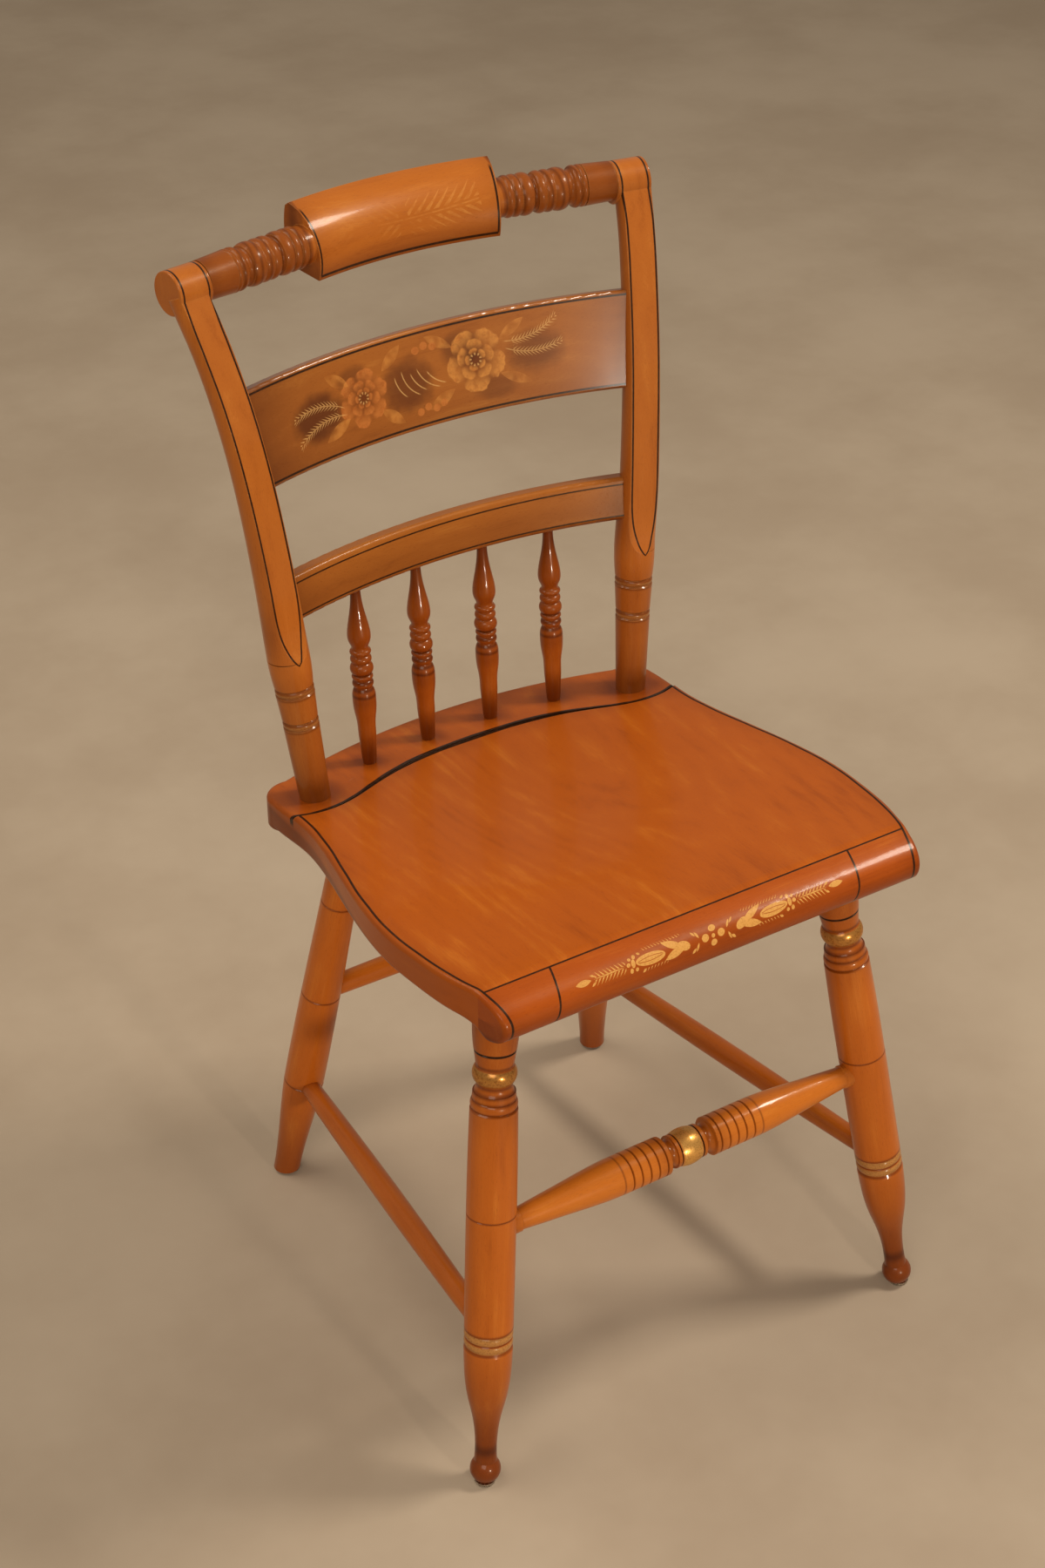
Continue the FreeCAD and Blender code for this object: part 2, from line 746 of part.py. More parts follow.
def between_lines(first, second, way, reach):
    """Space between two smooth lines, swept both ways along a direction square to them."""
    flat = [[point - way * point.dot(way) for point in line] for line in (first, second)]
    edges = [
        spline_edge(flat[0]),
        Part.LineSegment(flat[0][-1], flat[1][-1]).toShape(),
        spline_edge(flat[1][::-1]),
        Part.LineSegment(flat[1][0], flat[0][0]).toShape()]
    face = Part.Face(Part.Wire(edges))
    face.translate(way * (first[0].dot(way) - reach))
    return face.extrude(way * (2 * reach))


def post_bend():
    """Bent upper part of the right post: a round bar with one flat shaved along its front."""
    path = post_path()
    start, end = path.FirstParameter, path.LastParameter
    side = width_way()
    rings, front, behind = [], [], []
    for at, full in post_face_shares:
        point = path.value(start + (end - start) * at)
        way = path.tangent(start + (end - start) * at)[0]
        square = way.cross(side).normalize()
        radius = post_bend_radius(at)
        rings.append(Part.Wire([Part.Circle(point, way, radius).toShape()]))
        front.append(point - square * math.sqrt(radius ** 2 - post_face_half_width ** 2) * full)
        behind.append(point + square * 2 * radius)
    return Part.makeLoft(rings, True).common(between_lines(front, behind, side, 4 * post_radius))


def post_turning():
    """Straight lower part of a post with its two rings."""
    foot, top = post_axis()
    length = foot.distanceToPoint(top)
    lathe = Lathe(-overrun, post_foot_radius)
    lathe.line(0, post_foot_radius)
    lathe.sweep([
        (post_lower_ring / 2, (post_foot_radius + post_waist_radius) / 2),
        (post_lower_ring - post_ring_width / 2, post_waist_radius)])
    lathe.line(lathe.last.z + post_ring_depth, post_waist_radius - post_ring_depth)
    lathe.arc(lathe.last.z + post_ring_width, post_waist_radius - post_ring_depth, post_waist_radius)
    lathe.line(lathe.last.z + post_ring_depth, post_waist_radius)
    full = (post_waist_radius + post_radius) / 2
    lathe.line(post_upper_ring - post_ring_width / 2, full)
    lathe.line(lathe.last.z + post_ring_depth, full - post_ring_depth)
    lathe.arc(lathe.last.z + post_ring_width, full - post_ring_depth, full)
    lathe.line(lathe.last.z + post_ring_depth, full)
    lathe.sweep([((lathe.last.z + length) / 2, post_radius - scribe_depth / 2), (length, post_radius)])
    return lathe.solid()


def whole_post():
    """Right post with its turned foot, bent blade and round head, before any joint is made."""
    foot, top = post_axis()
    side = width_way()
    head = Part.makeCylinder(head_radius, 2 * head_half_width, head_centre() - side * head_half_width, side)
    head = head.makeFillet(head_round, [edge for edge in head.Edges if isinstance(edge.Curve, Part.Circle)])
    return aligned(post_turning(), foot, top).fuse(post_bend()).fuse(head).removeSplitter()


def make_post(post, seat, tools):
    """Right post shouldered on the seat with a round tenon, and opened for the rails it holds."""
    foot, top = post_axis()
    post = largest(post.cut(seat)).fuse(rod(foot, beyond(foot, top), post_tenon_radius, post_tenon_depth, 0))
    for tool in tools:
        post = post.cut(tool)
    return post


# Crest rail

def pillow_bow_radius():
    """Radius of the bow of the pillow's centre line."""
    return pillow_half_width / math.sin(math.radians(pillow_bow_angle))


def crest_end_line():
    """Start of the right turned end, just inside the post head, and its joint with the pillow."""
    pillow_end = VEC(pillow_half_width, pillow_end_y, crest_height)
    outward = (VEC(head_x, crest_end_y, crest_height) - pillow_end).normalize()
    return pillow_end + outward * crest_end_length, pillow_end


def pillow_section():
    """Upright section of the pillow at its middle: full in front, thin at the top."""
    front_low, front_high, back_high, back_mid, back_low = [
        VEC(0, back, up) for back, up in
        (pillow_front_low, pillow_front_high, pillow_back_high, pillow_back_mid, pillow_back_low)]
    chord = front_high - front_low
    forward = VEC(1, 0, 0).cross(chord).normalize()
    sagitta = pillow_front_radius - math.sqrt(pillow_front_radius ** 2 - (chord.Length / 2) ** 2)
    edges = [
        Part.Arc(front_low, (front_low + front_high) * 0.5 + forward * sagitta, front_high).toShape(),
        Part.LineSegment(front_high, back_high).toShape(),
        Part.Arc(back_high, back_mid, back_low).toShape(),
        Part.LineSegment(back_low, front_low).toShape()]
    return Part.Face(Part.Wire(edges))


def make_pillow():
    """Bowed pillow between the turned ends."""
    section = pillow_section()
    centre = VEC(0, pillow_end_y - pillow_bow_radius() * math.cos(math.radians(pillow_bow_angle)), 0)
    section.translate(VEC(0, centre.y + pillow_bow_radius(), crest_height))
    section.rotate(centre, UP, -pillow_bow_angle)
    return section.revolve(centre, UP, 2 * pillow_bow_angle)


def crest_end_turning():
    """Turned right end of the crest rail, drawn from the post head to the pillow."""
    lathe = Lathe(-overrun, crest_drum_radius)
    lathe.line(0, crest_drum_radius)
    lathe.line(crest_drum_length, crest_drum_end_radius)
    lathe.line(crest_drum_length, crest_root_radius)
    for station, radius in crest_end_beads:
        lathe.arc(station, crest_root_radius, radius)
    lathe.line(crest_end_length + overrun / 2, crest_root_radius)
    return lathe.solid()


def make_crest(post):
    """Crest rail shouldered against both post heads, with a round tenon into each."""
    head_end, pillow_end = crest_end_line()
    end = aligned(crest_end_turning(), head_end, pillow_end).cut(post).cut(outside_head())
    end = largest(end).fuse(crest_tenon(0, 0))
    return make_pillow().fuse(end).fuse(mirrored(end))


def outside_head():
    """Space outward of the inner face of the right post head."""
    side = width_way()
    inner_face = head_centre() - side * head_half_width
    return Part.makeCylinder(4 * head_radius, 4 * head_half_width, inner_face, side)


def crest_tenon(fit, room):
    """Round tenon on the right end of the crest rail, or its socket with some fit and room."""
    head_end, pillow_end = crest_end_line()
    return rod(head_end, beyond(head_end, pillow_end), crest_tenon_radius + fit, crest_tenon_depth + room, 0)


# Slat and lower rail

def bar_section(middle, width, thickness, lean, corner):
    """Rounded upright section about a middle point, leaning back."""
    along = VEC(0, math.sin(math.radians(lean)), math.cos(math.radians(lean)))
    back = VEC(0, math.cos(math.radians(lean)), -math.sin(math.radians(lean)))
    edges = []
    first = last = None
    for deep, high in ((-1, -1), (-1, 1), (1, 1), (1, -1)):
        inner = middle + back * (deep * (thickness / 2 - corner)) + along * (high * (width / 2 - corner))
        ends = [inner + back * (deep * corner), inner + along * (high * corner)]
        if deep * high > 0:
            ends.reverse()
        if last is not None:
            edges.append(Part.LineSegment(last, ends[0]).toShape())
        outward = (back * deep + along * high).normalize() * corner
        edges.append(Part.Arc(ends[0], inner + outward, ends[1]).toShape())
        first = first or ends[0]
        last = ends[1]
    edges.append(Part.LineSegment(last, first).toShape())
    return Part.Face(Part.Wire(edges))


def bar_middle(face_y, height, half_span, thickness, lean, bow_radius):
    """Middle of a bowed bar's section at the middle of the chair."""
    sag = bow_radius - math.sqrt(bow_radius ** 2 - half_span ** 2)
    back = VEC(0, math.cos(math.radians(lean)), -math.sin(math.radians(lean)))
    return VEC(0, face_y + sag, height) + back * (thickness / 2)


def bent_bar(section, middle, half_span, lean_share, bow_radius):
    """Section swept along the bow of the back and cut to length, longer at the top."""
    reach = 2 * half_span
    angle = math.degrees(math.asin((half_span + 2 * overrun) / bow_radius))
    centre = VEC(0, middle.y - bow_radius, 0)
    swept = section.copy()
    swept.rotate(centre, UP, -angle)
    swept = swept.revolve(centre, UP, 2 * angle)
    spread = reach * lean_share
    corners = [
        VEC(-half_span + spread, middle.y - reach, middle.z - reach),
        VEC(half_span - spread, middle.y - reach, middle.z - reach),
        VEC(half_span + spread, middle.y - reach, middle.z + reach),
        VEC(-half_span - spread, middle.y - reach, middle.z + reach)]
    window = Part.Face(Part.makePolygon(corners + corners[:1])).extrude(VEC(0, 2 * reach, 0))
    return swept.common(window)


def slat_middle():
    """Middle of the slat's section."""
    return bar_middle(slat_face_y, slat_height, slat_half_span, slat_thickness, slat_lean, slat_bow_radius)


def rail_middle():
    """Middle of the lower rail's section."""
    return bar_middle(rail_face_y, rail_height, rail_half_span, rail_thickness, rail_lean, rail_bow_radius)


def slat_body():
    """Slat, run through both posts."""
    section = bar_section(slat_middle(), slat_width, slat_thickness, slat_lean, slat_round)
    return bent_bar(section, slat_middle(), slat_half_span + overrun, slat_end_lean_share, slat_bow_radius)


def rail_body():
    """Lower rail, run through both posts."""
    section = bar_section(rail_middle(), rail_width, rail_thickness, rail_lean, rail_round)
    return bent_bar(section, rail_middle(), rail_half_span + overrun, rail_end_lean_share, rail_bow_radius)


def slat_tenons(fit, room):
    """Both tenons of the slat in one bar, or its mortises with some fit and room."""
    width = slat_tenon_width + 2 * fit
    section = bar_section(slat_middle(), width, slat_tenon_thickness + 2 * fit, slat_lean, slat_round)
    half_span = slat_half_span + mortise_depth + room
    return bent_bar(section, slat_middle(), half_span, slat_end_lean_share, slat_bow_radius)


def rail_tenons(fit, room):
    """Both tenons of the lower rail in one bar, or its mortises with some fit and room."""
    width = rail_tenon_width + 2 * fit
    section = bar_section(rail_middle(), width, rail_tenon_thickness + 2 * fit, rail_lean, slat_round)
    half_span = rail_half_span + mortise_depth + room
    return bent_bar(section, rail_middle(), half_span, rail_end_lean_share, rail_bow_radius)


def make_bar(body, tenons, post):
    """Bent bar shouldered against both posts, with its tenons."""
    return largest(body.cut(post).cut(mirrored(post))).fuse(tenons).removeSplitter()


# Spindles

def rail_underside(across):
    """Point on the lower rail's underside at a distance from the middle, where a spindle enters it."""
    along = VEC(0, math.sin(math.radians(rail_lean)), math.cos(math.radians(rail_lean)))
    back = VEC(0, math.cos(math.radians(rail_lean)), -math.sin(math.radians(rail_lean)))
    low = rail_middle() - along * (rail_width / 2) + back * spindle_set_back
    centre_y = rail_middle().y - rail_bow_radius
    return VEC(across, centre_y + math.sqrt((low.y - centre_y) ** 2 - across ** 2), low.z)


def spindle_axis(across):
    """Foot on the platform and top under the lower rail of a right-hand spindle."""
    sag = spindle_foot_bow_radius - math.sqrt(spindle_foot_bow_radius ** 2 - across ** 2)
    foot_y = spindle_middle_foot_y - sag
    return VEC(across, foot_y, platform_height(foot_y)), rail_underside(across + spindle_spread)


def spindle_turning(length):
    """Spindle with its rings and ball."""
    lathe = Lathe(-overrun, spindle_ball_radius * spindle_lower_shares[0][1])
    lathe.line(0, lathe.last.x)
    lathe.sweep([(length * at, spindle_ball_radius * full) for at, full in spindle_lower_shares[1:]])
    for low, high in spindle_ring_shares:
        spindle_ring(lathe, length, low, high)
    low, high = spindle_ball_shares
    lathe.line(length * low, spindle_neck_radius)
    lathe.arc(length * high, spindle_neck_radius, spindle_ball_radius)
    for low, high in spindle_top_ring_shares:
        spindle_ring(lathe, length, low, high)
    lathe.sweep([(length * at, spindle_ball_radius * full) for at, full in spindle_upper_shares])
    lathe.line(length + overrun, lathe.last.x)
    return lathe.solid()


def spindle_ring(lathe, length, low, high):
    """One rounded ring between two shares of a spindle's length."""
    lathe.line(length * low, spindle_neck_radius)
    lathe.arc(length * high, spindle_neck_radius, spindle_ring_radius)


def make_spindle(across, seat, rail):
    """Right-hand spindle shouldered on the seat and under the rail, with a round tenon at each end."""
    foot, head = spindle_axis(across)
    body = largest(aligned(spindle_turning(foot.distanceToPoint(head)), foot, head).cut(seat).cut(rail))
    return body.fuse(rod(foot, head, spindle_tenon_radius, spindle_tenon_depth, spindle_tenon_depth))


def bored_rail(rail):
    """Lower rail with the sockets of its spindles."""
    for across in (spindle_inner_x, spindle_outer_x):
        foot, head = spindle_axis(across)
        reach = spindle_tenon_depth + end_room
        tool = rod(beyond(head, foot), head, spindle_tenon_radius + socket_fit, 0, reach)
        rail = rail.cut(tool).cut(mirrored(tool))
    return rail


# Assembly

def build():
    """Every piece of the chair by name, in the frame of the leg measurements."""
    seat = shaped_seat()
    front_axis, rear_axis = front_leg_axis(), rear_leg_axis()
    front_turning, rear_turning = front_leg_turning(), rear_leg_turning()
    front_round, rear_round = aligned(front_turning, *front_axis), aligned(rear_turning, *rear_axis)
    side_line = side_stretcher_line()
    front_line = cross_line(front_axis, front_stretcher_height)
    rear_line = cross_line(rear_axis, rear_stretcher_height)
    side_rear = stretcher_joint(side_line[0], side_line[1], rear_leg_joint_radius, stretcher_tenon_radius)
    side_front = stretcher_joint(side_line[1], side_line[0], column_radius, stretcher_tenon_radius)
    front_left = stretcher_joint(front_line[0], front_line[1], column_radius, front_stretcher_tenon_radius)
    front_right = stretcher_joint(front_line[1], front_line[0], column_radius, front_stretcher_tenon_radius)
    rear_left = stretcher_joint(rear_line[0], rear_line[1], rear_leg_joint_radius, stretcher_tenon_radius)
    rear_right = stretcher_joint(rear_line[1], rear_line[0], rear_leg_joint_radius, stretcher_tenon_radius)

    post = whole_post()
    slat = make_bar(slat_body(), slat_tenons(0, 0), post)
    rail = make_bar(rail_body(), rail_tenons(0, 0), post)
    tools = [
        slat_tenons(socket_fit, end_room), rail_tenons(socket_fit, end_room), crest_tenon(socket_fit, end_room)]

    side_length = side_line[0].distanceToPoint(side_line[1])
    front_length = front_line[0].distanceToPoint(front_line[1])
    rear_length = rear_line[0].distanceToPoint(rear_line[1])
    pieces = {
        "seat": bored_seat(seat),
        "crest_rail": make_crest(post),
        "slat": slat,
        "lower_rail": bored_rail(rail),
        "front_stretcher": make_stretcher(
            front_stretcher_turning(front_length), front_line,
            [front_round, mirrored(front_round)], [front_left, front_right]),
        "rear_stretcher": make_stretcher(
            swelled_turning(rear_length, rear_stretcher_end_radius, rear_stretcher_middle_radius), rear_line,
            [rear_round, mirrored(rear_round)], [rear_left, rear_right])}
    pairs = {
        "back_post": make_post(post, seat, tools),
        "spindle_inner": make_spindle(spindle_inner_x, seat, rail),
        "spindle_outer": make_spindle(spindle_outer_x, seat, rail),
        "front_leg": make_leg(front_turning, front_axis, seat, [side_front, front_right]),
        "rear_leg": make_leg(rear_turning, rear_axis, seat, [side_rear, rear_right]),
        "side_stretcher": make_stretcher(
            swelled_turning(side_length, side_end_radius, side_middle_radius), side_line,
            [rear_round, front_round], [side_rear, side_front]),
        "front_glide": make_glide(front_axis),
        "rear_glide": make_glide(rear_axis)}
    for name, shape in pairs.items():
        pieces[name + "_right"] = shape
        pieces[name + "_left"] = mirrored(shape)
    return pieces


def main():
    """Build the chair, centre it over its frame and write one file for each piece."""
    os.makedirs("parts", exist_ok=True)
    pieces = build()
    box = Part.makeCompound(list(pieces.values())).optimalBoundingBox(False)
    shift = VEC(0, -(box.YMin + box.YMax) / 2, 0)
    print("shift", shift.y, "height", box.ZMax, "width", box.XLength, "depth", box.YLength)
    for name, piece in pieces.items():
        shape = largest(piece)
        shape.translate(shift)
        print(name, len(piece.Solids), "solid,", "valid:", shape.isValid(), "volume:", round(shape.Volume))
        shape.exportStep("parts/" + name + ".step")


main()
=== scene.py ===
"""Stain, striping, bronze stencils, lamps and camera for a stenciled side chair."""

import logging
import math
from collections.abc import Iterable
from dataclasses import dataclass, replace
from enum import Enum
from functools import reduce
from typing import TypeAlias

import bpy
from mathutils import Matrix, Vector


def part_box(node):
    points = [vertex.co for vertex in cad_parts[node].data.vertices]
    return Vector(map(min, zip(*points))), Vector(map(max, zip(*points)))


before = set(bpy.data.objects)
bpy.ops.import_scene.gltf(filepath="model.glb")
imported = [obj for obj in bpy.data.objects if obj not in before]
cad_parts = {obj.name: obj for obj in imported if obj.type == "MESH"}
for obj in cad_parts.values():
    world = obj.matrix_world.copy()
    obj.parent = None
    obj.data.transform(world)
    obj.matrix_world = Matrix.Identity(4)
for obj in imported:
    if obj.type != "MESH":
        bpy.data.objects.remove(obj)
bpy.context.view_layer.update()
LOG = logging.getLogger("side_chair")

Colour = tuple[float, float, float]
Point = tuple[float, float, float]
Pair = tuple[float, float]
Pairs = tuple[Pair, ...]
Socket = bpy.types.NodeSocket
Value: TypeAlias = "Signal | float"
Shade: TypeAlias = "Signal | Colour"

ORIGIN: Point = (0.0, 0.0, 0.0)
FULL_SIZE: Point = (1.0, 1.0, 1.0)
WHOLE: Pair = (0.0, 1.0)
MILLIMETRES = 1000.0
QUILL_SOFT = 0.0003
# A darker brown, used both as toner in the stain and as painted shade.
TONER_AND_PAINTED_SHADE: Colour = (0.46, 0.37, 0.36)


class Side(Enum):
    """Which side of the chair a piece stands on, seen from its front."""

    LEFT = -1
    RIGHT = 1

    def mirrored(self, point: Point) -> Point:
        """The place on this side of a point that is given for the right."""
        return (point[0] * self.value, point[1], point[2])


class Grain(Enum):
    """The way in which the grain of a flat piece runs."""

    CROSSWISE = (0.0, math.radians(90), 0.0)
    FRONT_TO_BACK = (math.radians(-90), 0.0, 0.0)


# The bench on which a finish is mixed


@dataclass(frozen=True)
class Signal:
    """A value that varies over a piece, ready to be added to, scaled or compared."""

    bench: "Bench"
    socket: Socket

    def __add__(self, other: Value) -> "Signal":
        """The sum of two values."""
        return self.bench.work_out("ADD", self, other)

    def __sub__(self, other: Value) -> "Signal":
        """The first value less the second."""
        return self.bench.work_out("SUBTRACT", self, other)

    def __rsub__(self, other: float) -> "Signal":
        """A number less this value."""
        return self.bench.work_out("SUBTRACT", other, self)

    def __mul__(self, other: Value) -> "Signal":
        """The product of two values."""
        return self.bench.work_out("MULTIPLY", self, other)

    def __abs__(self) -> "Signal":
        """The size of the value without its sign."""
        return self.bench.work_out("ABSOLUTE", self, 0.0)

    def either(self, other: Value) -> "Signal":
        """The larger of two values, which joins two masks."""
        return self.bench.work_out("MAXIMUM", self, other)

    def lesser(self, other: Value) -> "Signal":
        """The smaller of two values."""
        return self.bench.work_out("MINIMUM", self, other)

    def power(self, exponent: float) -> "Signal":
        """The value raised to a power."""
        return self.bench.work_out("POWER", self, exponent)

    def above(self, edge: float, soft: float) -> "Signal":
        """A mask that is one over an edge and nought under it, with a soft step between."""
        return self.bench.rise(self, edge - soft, edge + soft)

    def below(self, edge: float, soft: float) -> "Signal":
        """A mask that is one under an edge and nought over it."""
        return self.bench.rise(self, edge + soft, edge - soft)

    def near(self, place: Value, half: float, soft: float) -> "Signal":
        """A mask that is one within a half width of a place."""
        return abs(self - place).below(half, soft)


def any_of(masks: Iterable[Signal]) -> Signal:
    """One mask that is one wherever any of several is."""
    return reduce(Signal.either, masks)


class Bench:
    """Lays out the nodes of one material and joins them up."""

    def __init__(self, name: str) -> None:
        """Starts an empty material.

        Args:
            name: The name of its finish and piece.
        """
        self.material = bpy.data.materials.new(name)
        self.material.use_nodes = True
        self.nodes = self.material.node_tree.nodes
        self.links = self.material.node_tree.links
        self.nodes.clear()
        self.place = self.nodes.new("ShaderNodeTexCoord").outputs["Object"]
        self.normal = self.nodes.new("ShaderNodeNewGeometry").outputs["Normal"]

    def feed(self, value: "Value | Socket | tuple", socket: Socket) -> None:
        """Joins a value to a socket, or sets the socket to it.

        Args:
            value: What goes in.
            socket: Where it goes in.
        """
        if isinstance(value, Signal):
            self.links.new(value.socket, socket)
        elif isinstance(value, Socket):
            self.links.new(value, socket)
        elif isinstance(value, tuple) and len(socket.default_value) > len(value):
            socket.default_value = (*value, 1.0)
        else:
            socket.default_value = value

    def add(self, kind: str, inputs: dict, **settings: "str | int") -> bpy.types.Node:
        """Lays out one node.

        Args:
            kind: The node's kind, as Blender names it after ShaderNode.
            inputs: What goes in, under the names or numbers of its sockets.
            settings: Its options, which are set first.

        Returns:
            The node.
        """
        node = self.nodes.new("ShaderNode" + kind)
        for name, choice in settings.items():
            setattr(node, name, choice)
        for name, value in inputs.items():
            self.feed(value, node.inputs[name])
        return node

    def work_out(self, operation: str, first: Value, second: Value) -> Signal:
        """One sum with two values.

        Args:
            operation: What is done, as the Math node names it.
            first: The first value.
            second: The second value.

        Returns:
            The result.
        """
        node = self.add("Math", {0: first, 1: second}, operation=operation)
        return Signal(self, node.outputs[0])

    def rise(self, value: Signal, low: float, high: float) -> Signal:
        """A smooth step from nought at one value to one at another.

        Args:
            value: The value that is looked at.
            low: Where the step starts, at nought.
            high: Where it ends, at one.

        Returns:
            The step, as a mask.
        """
        ends = (low, high, 0.0, 1.0) if high >= low else (high, low, 1.0, 0.0)
        inputs = dict(zip(("From Min", "From Max", "To Min", "To Max"), ends))
        node = self.add("MapRange", {"Value": value, **inputs}, interpolation_type="SMOOTHSTEP")
        return Signal(self, node.outputs["Result"])

    def split(self, vector: Socket) -> tuple[Signal, Signal, Signal]:
        """The three parts of a place."""
        return tuple(Signal(self, part) for part in self.add("SeparateXYZ", {0: vector}).outputs)

    def join(self, x: Value, y: Value, z: Value) -> Socket:
        """A place made of its three parts."""
        return self.add("CombineXYZ", {0: x, 1: y, 2: z}).outputs[0]

    def shift(self, vector: Socket, centre: Point, turn: Point = ORIGIN, size: Point = FULL_SIZE) -> Socket:
        """Places measured from a centre, along turned axes, in units of a size.

        Args:
            vector: The places.
            centre: Where the new places are measured from.
            turn: How the new axes are turned, in radians.
            size: The length of one unit along each new axis.

        Returns:
            The places on the new axes.
        """
        inputs = {"Vector": vector, "Location": centre, "Rotation": turn, "Scale": size}
        return self.add("Mapping", inputs, vector_type="TEXTURE").outputs[0]

    def lay(self, field: Socket, across: float, up: float, lean: float = 0.0,
            size: Point = FULL_SIZE) -> Socket:
        """Places on a flat stencil, measured from one of its points along a leaning line.

        Args:
            field: Places on the stencil, in millimetres.
            across: How far the point is to the right of the stencil's middle.
            up: How far it is above the middle.
            lean: How far the line is turned, in degrees.
            size: The length of one unit along each new axis.

        Returns:
            The places on the line's axes.
        """
        return self.shift(field, (across, up, 0.0), (0.0, 0.0, math.radians(lean)), size)

    def along(self, foot: Point, top: Point) -> Socket:
        """Places measured from a foot, with the third axis along a piece."""
        way = (Vector(top) - Vector(foot)).to_track_quat("Z", "Y").to_euler()
        return self.shift(self.place, foot, tuple(way))

    def front(self, edge: float, soft: float) -> Signal:
        """A mask that is one where the surface faces the front of the chair."""
        _, facing, _ = self.split(self.normal)
        return facing.below(edge, soft)

    def noise(self, vector: Socket, scale: float, detail: float, roughness: float = 0.5) -> Signal:
        """Cloudy noise.

        Args:
            vector: The places.
            scale: How many clouds go in one unit.
            detail: How many finer layers are added.
            roughness: How strong the finer layers are.

        Returns:
            The noise, around one half.
        """
        inputs = {"Vector": vector, "Scale": scale, "Detail": detail, "Roughness": roughness}
        return Signal(self, self.add("TexNoise", inputs).outputs[0])

    def growth_rings(self, vector: Socket, scale: float, distortion: float) -> Signal:
        """Wavy growth rings around the third axis.

        Args:
            vector: The places.
            scale: How close together the rings lie.
            distortion: How wavy they are.

        Returns:
            The rings, from nought to one.
        """
        inputs = {"Vector": vector, "Scale": scale, "Distortion": distortion}
        inputs |= {"Detail": 2.0, "Detail Scale": 1.4}
        node = self.add("TexWave", inputs, wave_type="RINGS", rings_direction="Z")
        return Signal(self, node.outputs["Fac"])

    def trace(self, value: Signal, points: Pairs, span: Pair = WHOLE, reach: Pair = WHOLE) -> Signal:
        """A line drawn through points, read off at a value.

        Args:
            value: Where the line is read.
            points: The places and heights that the line goes through.
            span: The lowest and highest place on the line.
            reach: The lowest and highest height that it takes.

        Returns:
            The line's height there.
        """
        wide, tall = span[1] - span[0], reach[1] - reach[0]
        shares = [((place - span[0]) / wide, (height - reach[0]) / tall) for place, height in points]
        node = self.add("FloatCurve", {"Value": (value - span[0]) * (1.0 / wide)})
        node.mapping.extend = "HORIZONTAL"
        curve = node.mapping.curves[0]
        curve.points[0].location = shares[0]
        curve.points[1].location = shares[-1]
        for share in shares[1:-1]:
            curve.points.new(*share)
        node.mapping.update()
        return Signal(self, node.outputs[0]) * tall + reach[0]

    def trace_rise(self, value: Signal, points: Pairs) -> Signal:
        """A line through points that climbs from the first, its lowest, to the last."""
        (start, low), (end, high) = points[0], points[-1]
        return self.trace(value, points, (start, end), (low, high))

    def tint(self, mask: Signal, under: Shade, over: Shade, way: str = "MIX") -> Signal:
        """One colour laid over another.

        Args:
            mask: How much of the second colour there is.
            under: The colour below.
            over: The colour on top.
            way: How they mix, as the Mix node names it.

        Returns:
            The mixed colour.
        """
        node = self.add("Mix", {0: mask, 6: under, 7: over}, data_type="RGBA", blend_type=way)
        return Signal(self, node.outputs[2])

    def shades(self, value: Signal, stops: tuple[tuple[float, Colour], ...]) -> Signal:
        """A colour picked from a row of shades.

        Args:
            value: Where in the row it is picked.
            stops: The shades, each after its place in the row.

        Returns:
            The colour.
        """
        node = self.add("ValToRGB", {0: value})
        band = node.color_ramp
        band.interpolation = "EASE"
        while len(band.elements) < len(stops):
            band.elements.new(0.5)
        for element, (place, colour) in zip(band.elements, stops):
            element.position = place
            element.color = (*colour, 1.0)
        return Signal(self, node.outputs[0])


@dataclass(frozen=True)
class Lacquer:
    """How a surface ends: its clear coat and the relief that is left in it."""

    weight: float
    gloss: float
    relief: float
    sheen: float = 0.20
    refraction: float = 1.5


@dataclass
class Coat:
    """What a surface is like so far: the layers laid on it up to now."""

    bench: Bench
    colour: Signal
    roughness: Signal
    metal: Value
    height: Signal
    arris: Socket | None = None

    def darken(self, mask: Signal, tone: Colour = TONER_AND_PAINTED_SHADE) -> None:
        """Darkens the colour under a mask: toner stain in some places, painted shade in others."""
        self.colour = self.bench.tint(mask, self.colour, tone, "MULTIPLY")

    def ease_edges(self, radius: float, rubbed: float) -> None:
        """Rounds sharp edges a little and makes them lighter: stain rubbed thin, and a painted highlight
        along the arrises.

        Args:
            radius: The radius of the rounding in metres.
            rubbed: How much lighter the edges get, from rubbed stain and painted highlight.
        """
        bench = self.bench
        self.arris = bench.add("Bevel", {"Radius": radius}, samples=4).outputs[0]
        turn = bench.add("VectorMath", {0: self.arris, 1: bench.normal}, operation="DOT_PRODUCT")
        edge = Signal(bench, turn.outputs["Value"]).below(0.95, 0.045)
        patchy = bench.noise(bench.place, 55.0, 3.0).above(0.42, 0.16)
        # Lighter edges: stain rubbed thin, and a painted highlight along the arrises.
        self.colour = bench.tint(edge * patchy * rubbed, self.colour, RUBBED_STAIN_AND_EDGE_HIGHLIGHT)

    def close(self, lacquer: Lacquer) -> bpy.types.Material:
        """Ends the material with its clear lacquer.

        Args:
            lacquer: The lacquer, of no weight on a bare surface.

        Returns:
            The material.
        """
        bench = self.bench
        relief = bench.add("Bump", {"Strength": 1.0, "Distance": lacquer.relief, "Height": self.height})
        if self.arris:
            bench.feed(self.arris, relief.inputs["Normal"])
        shader = bench.add("BsdfPrincipled", {
            "Base Color": self.colour,
            "Roughness": self.roughness,
            "Metallic": self.metal,
            "Normal": relief.outputs[0],
            "Specular IOR Level": lacquer.sheen,
            "Specular Tint": AMBER if lacquer.weight else CLEAR,
            "Coat Weight": lacquer.weight,
            "Coat Roughness": lacquer.gloss,
            "Coat IOR": lacquer.refraction,
        })
        bench.add("OutputMaterial", {"Surface": shader.outputs[0]})
        return bench.material


# Finishes


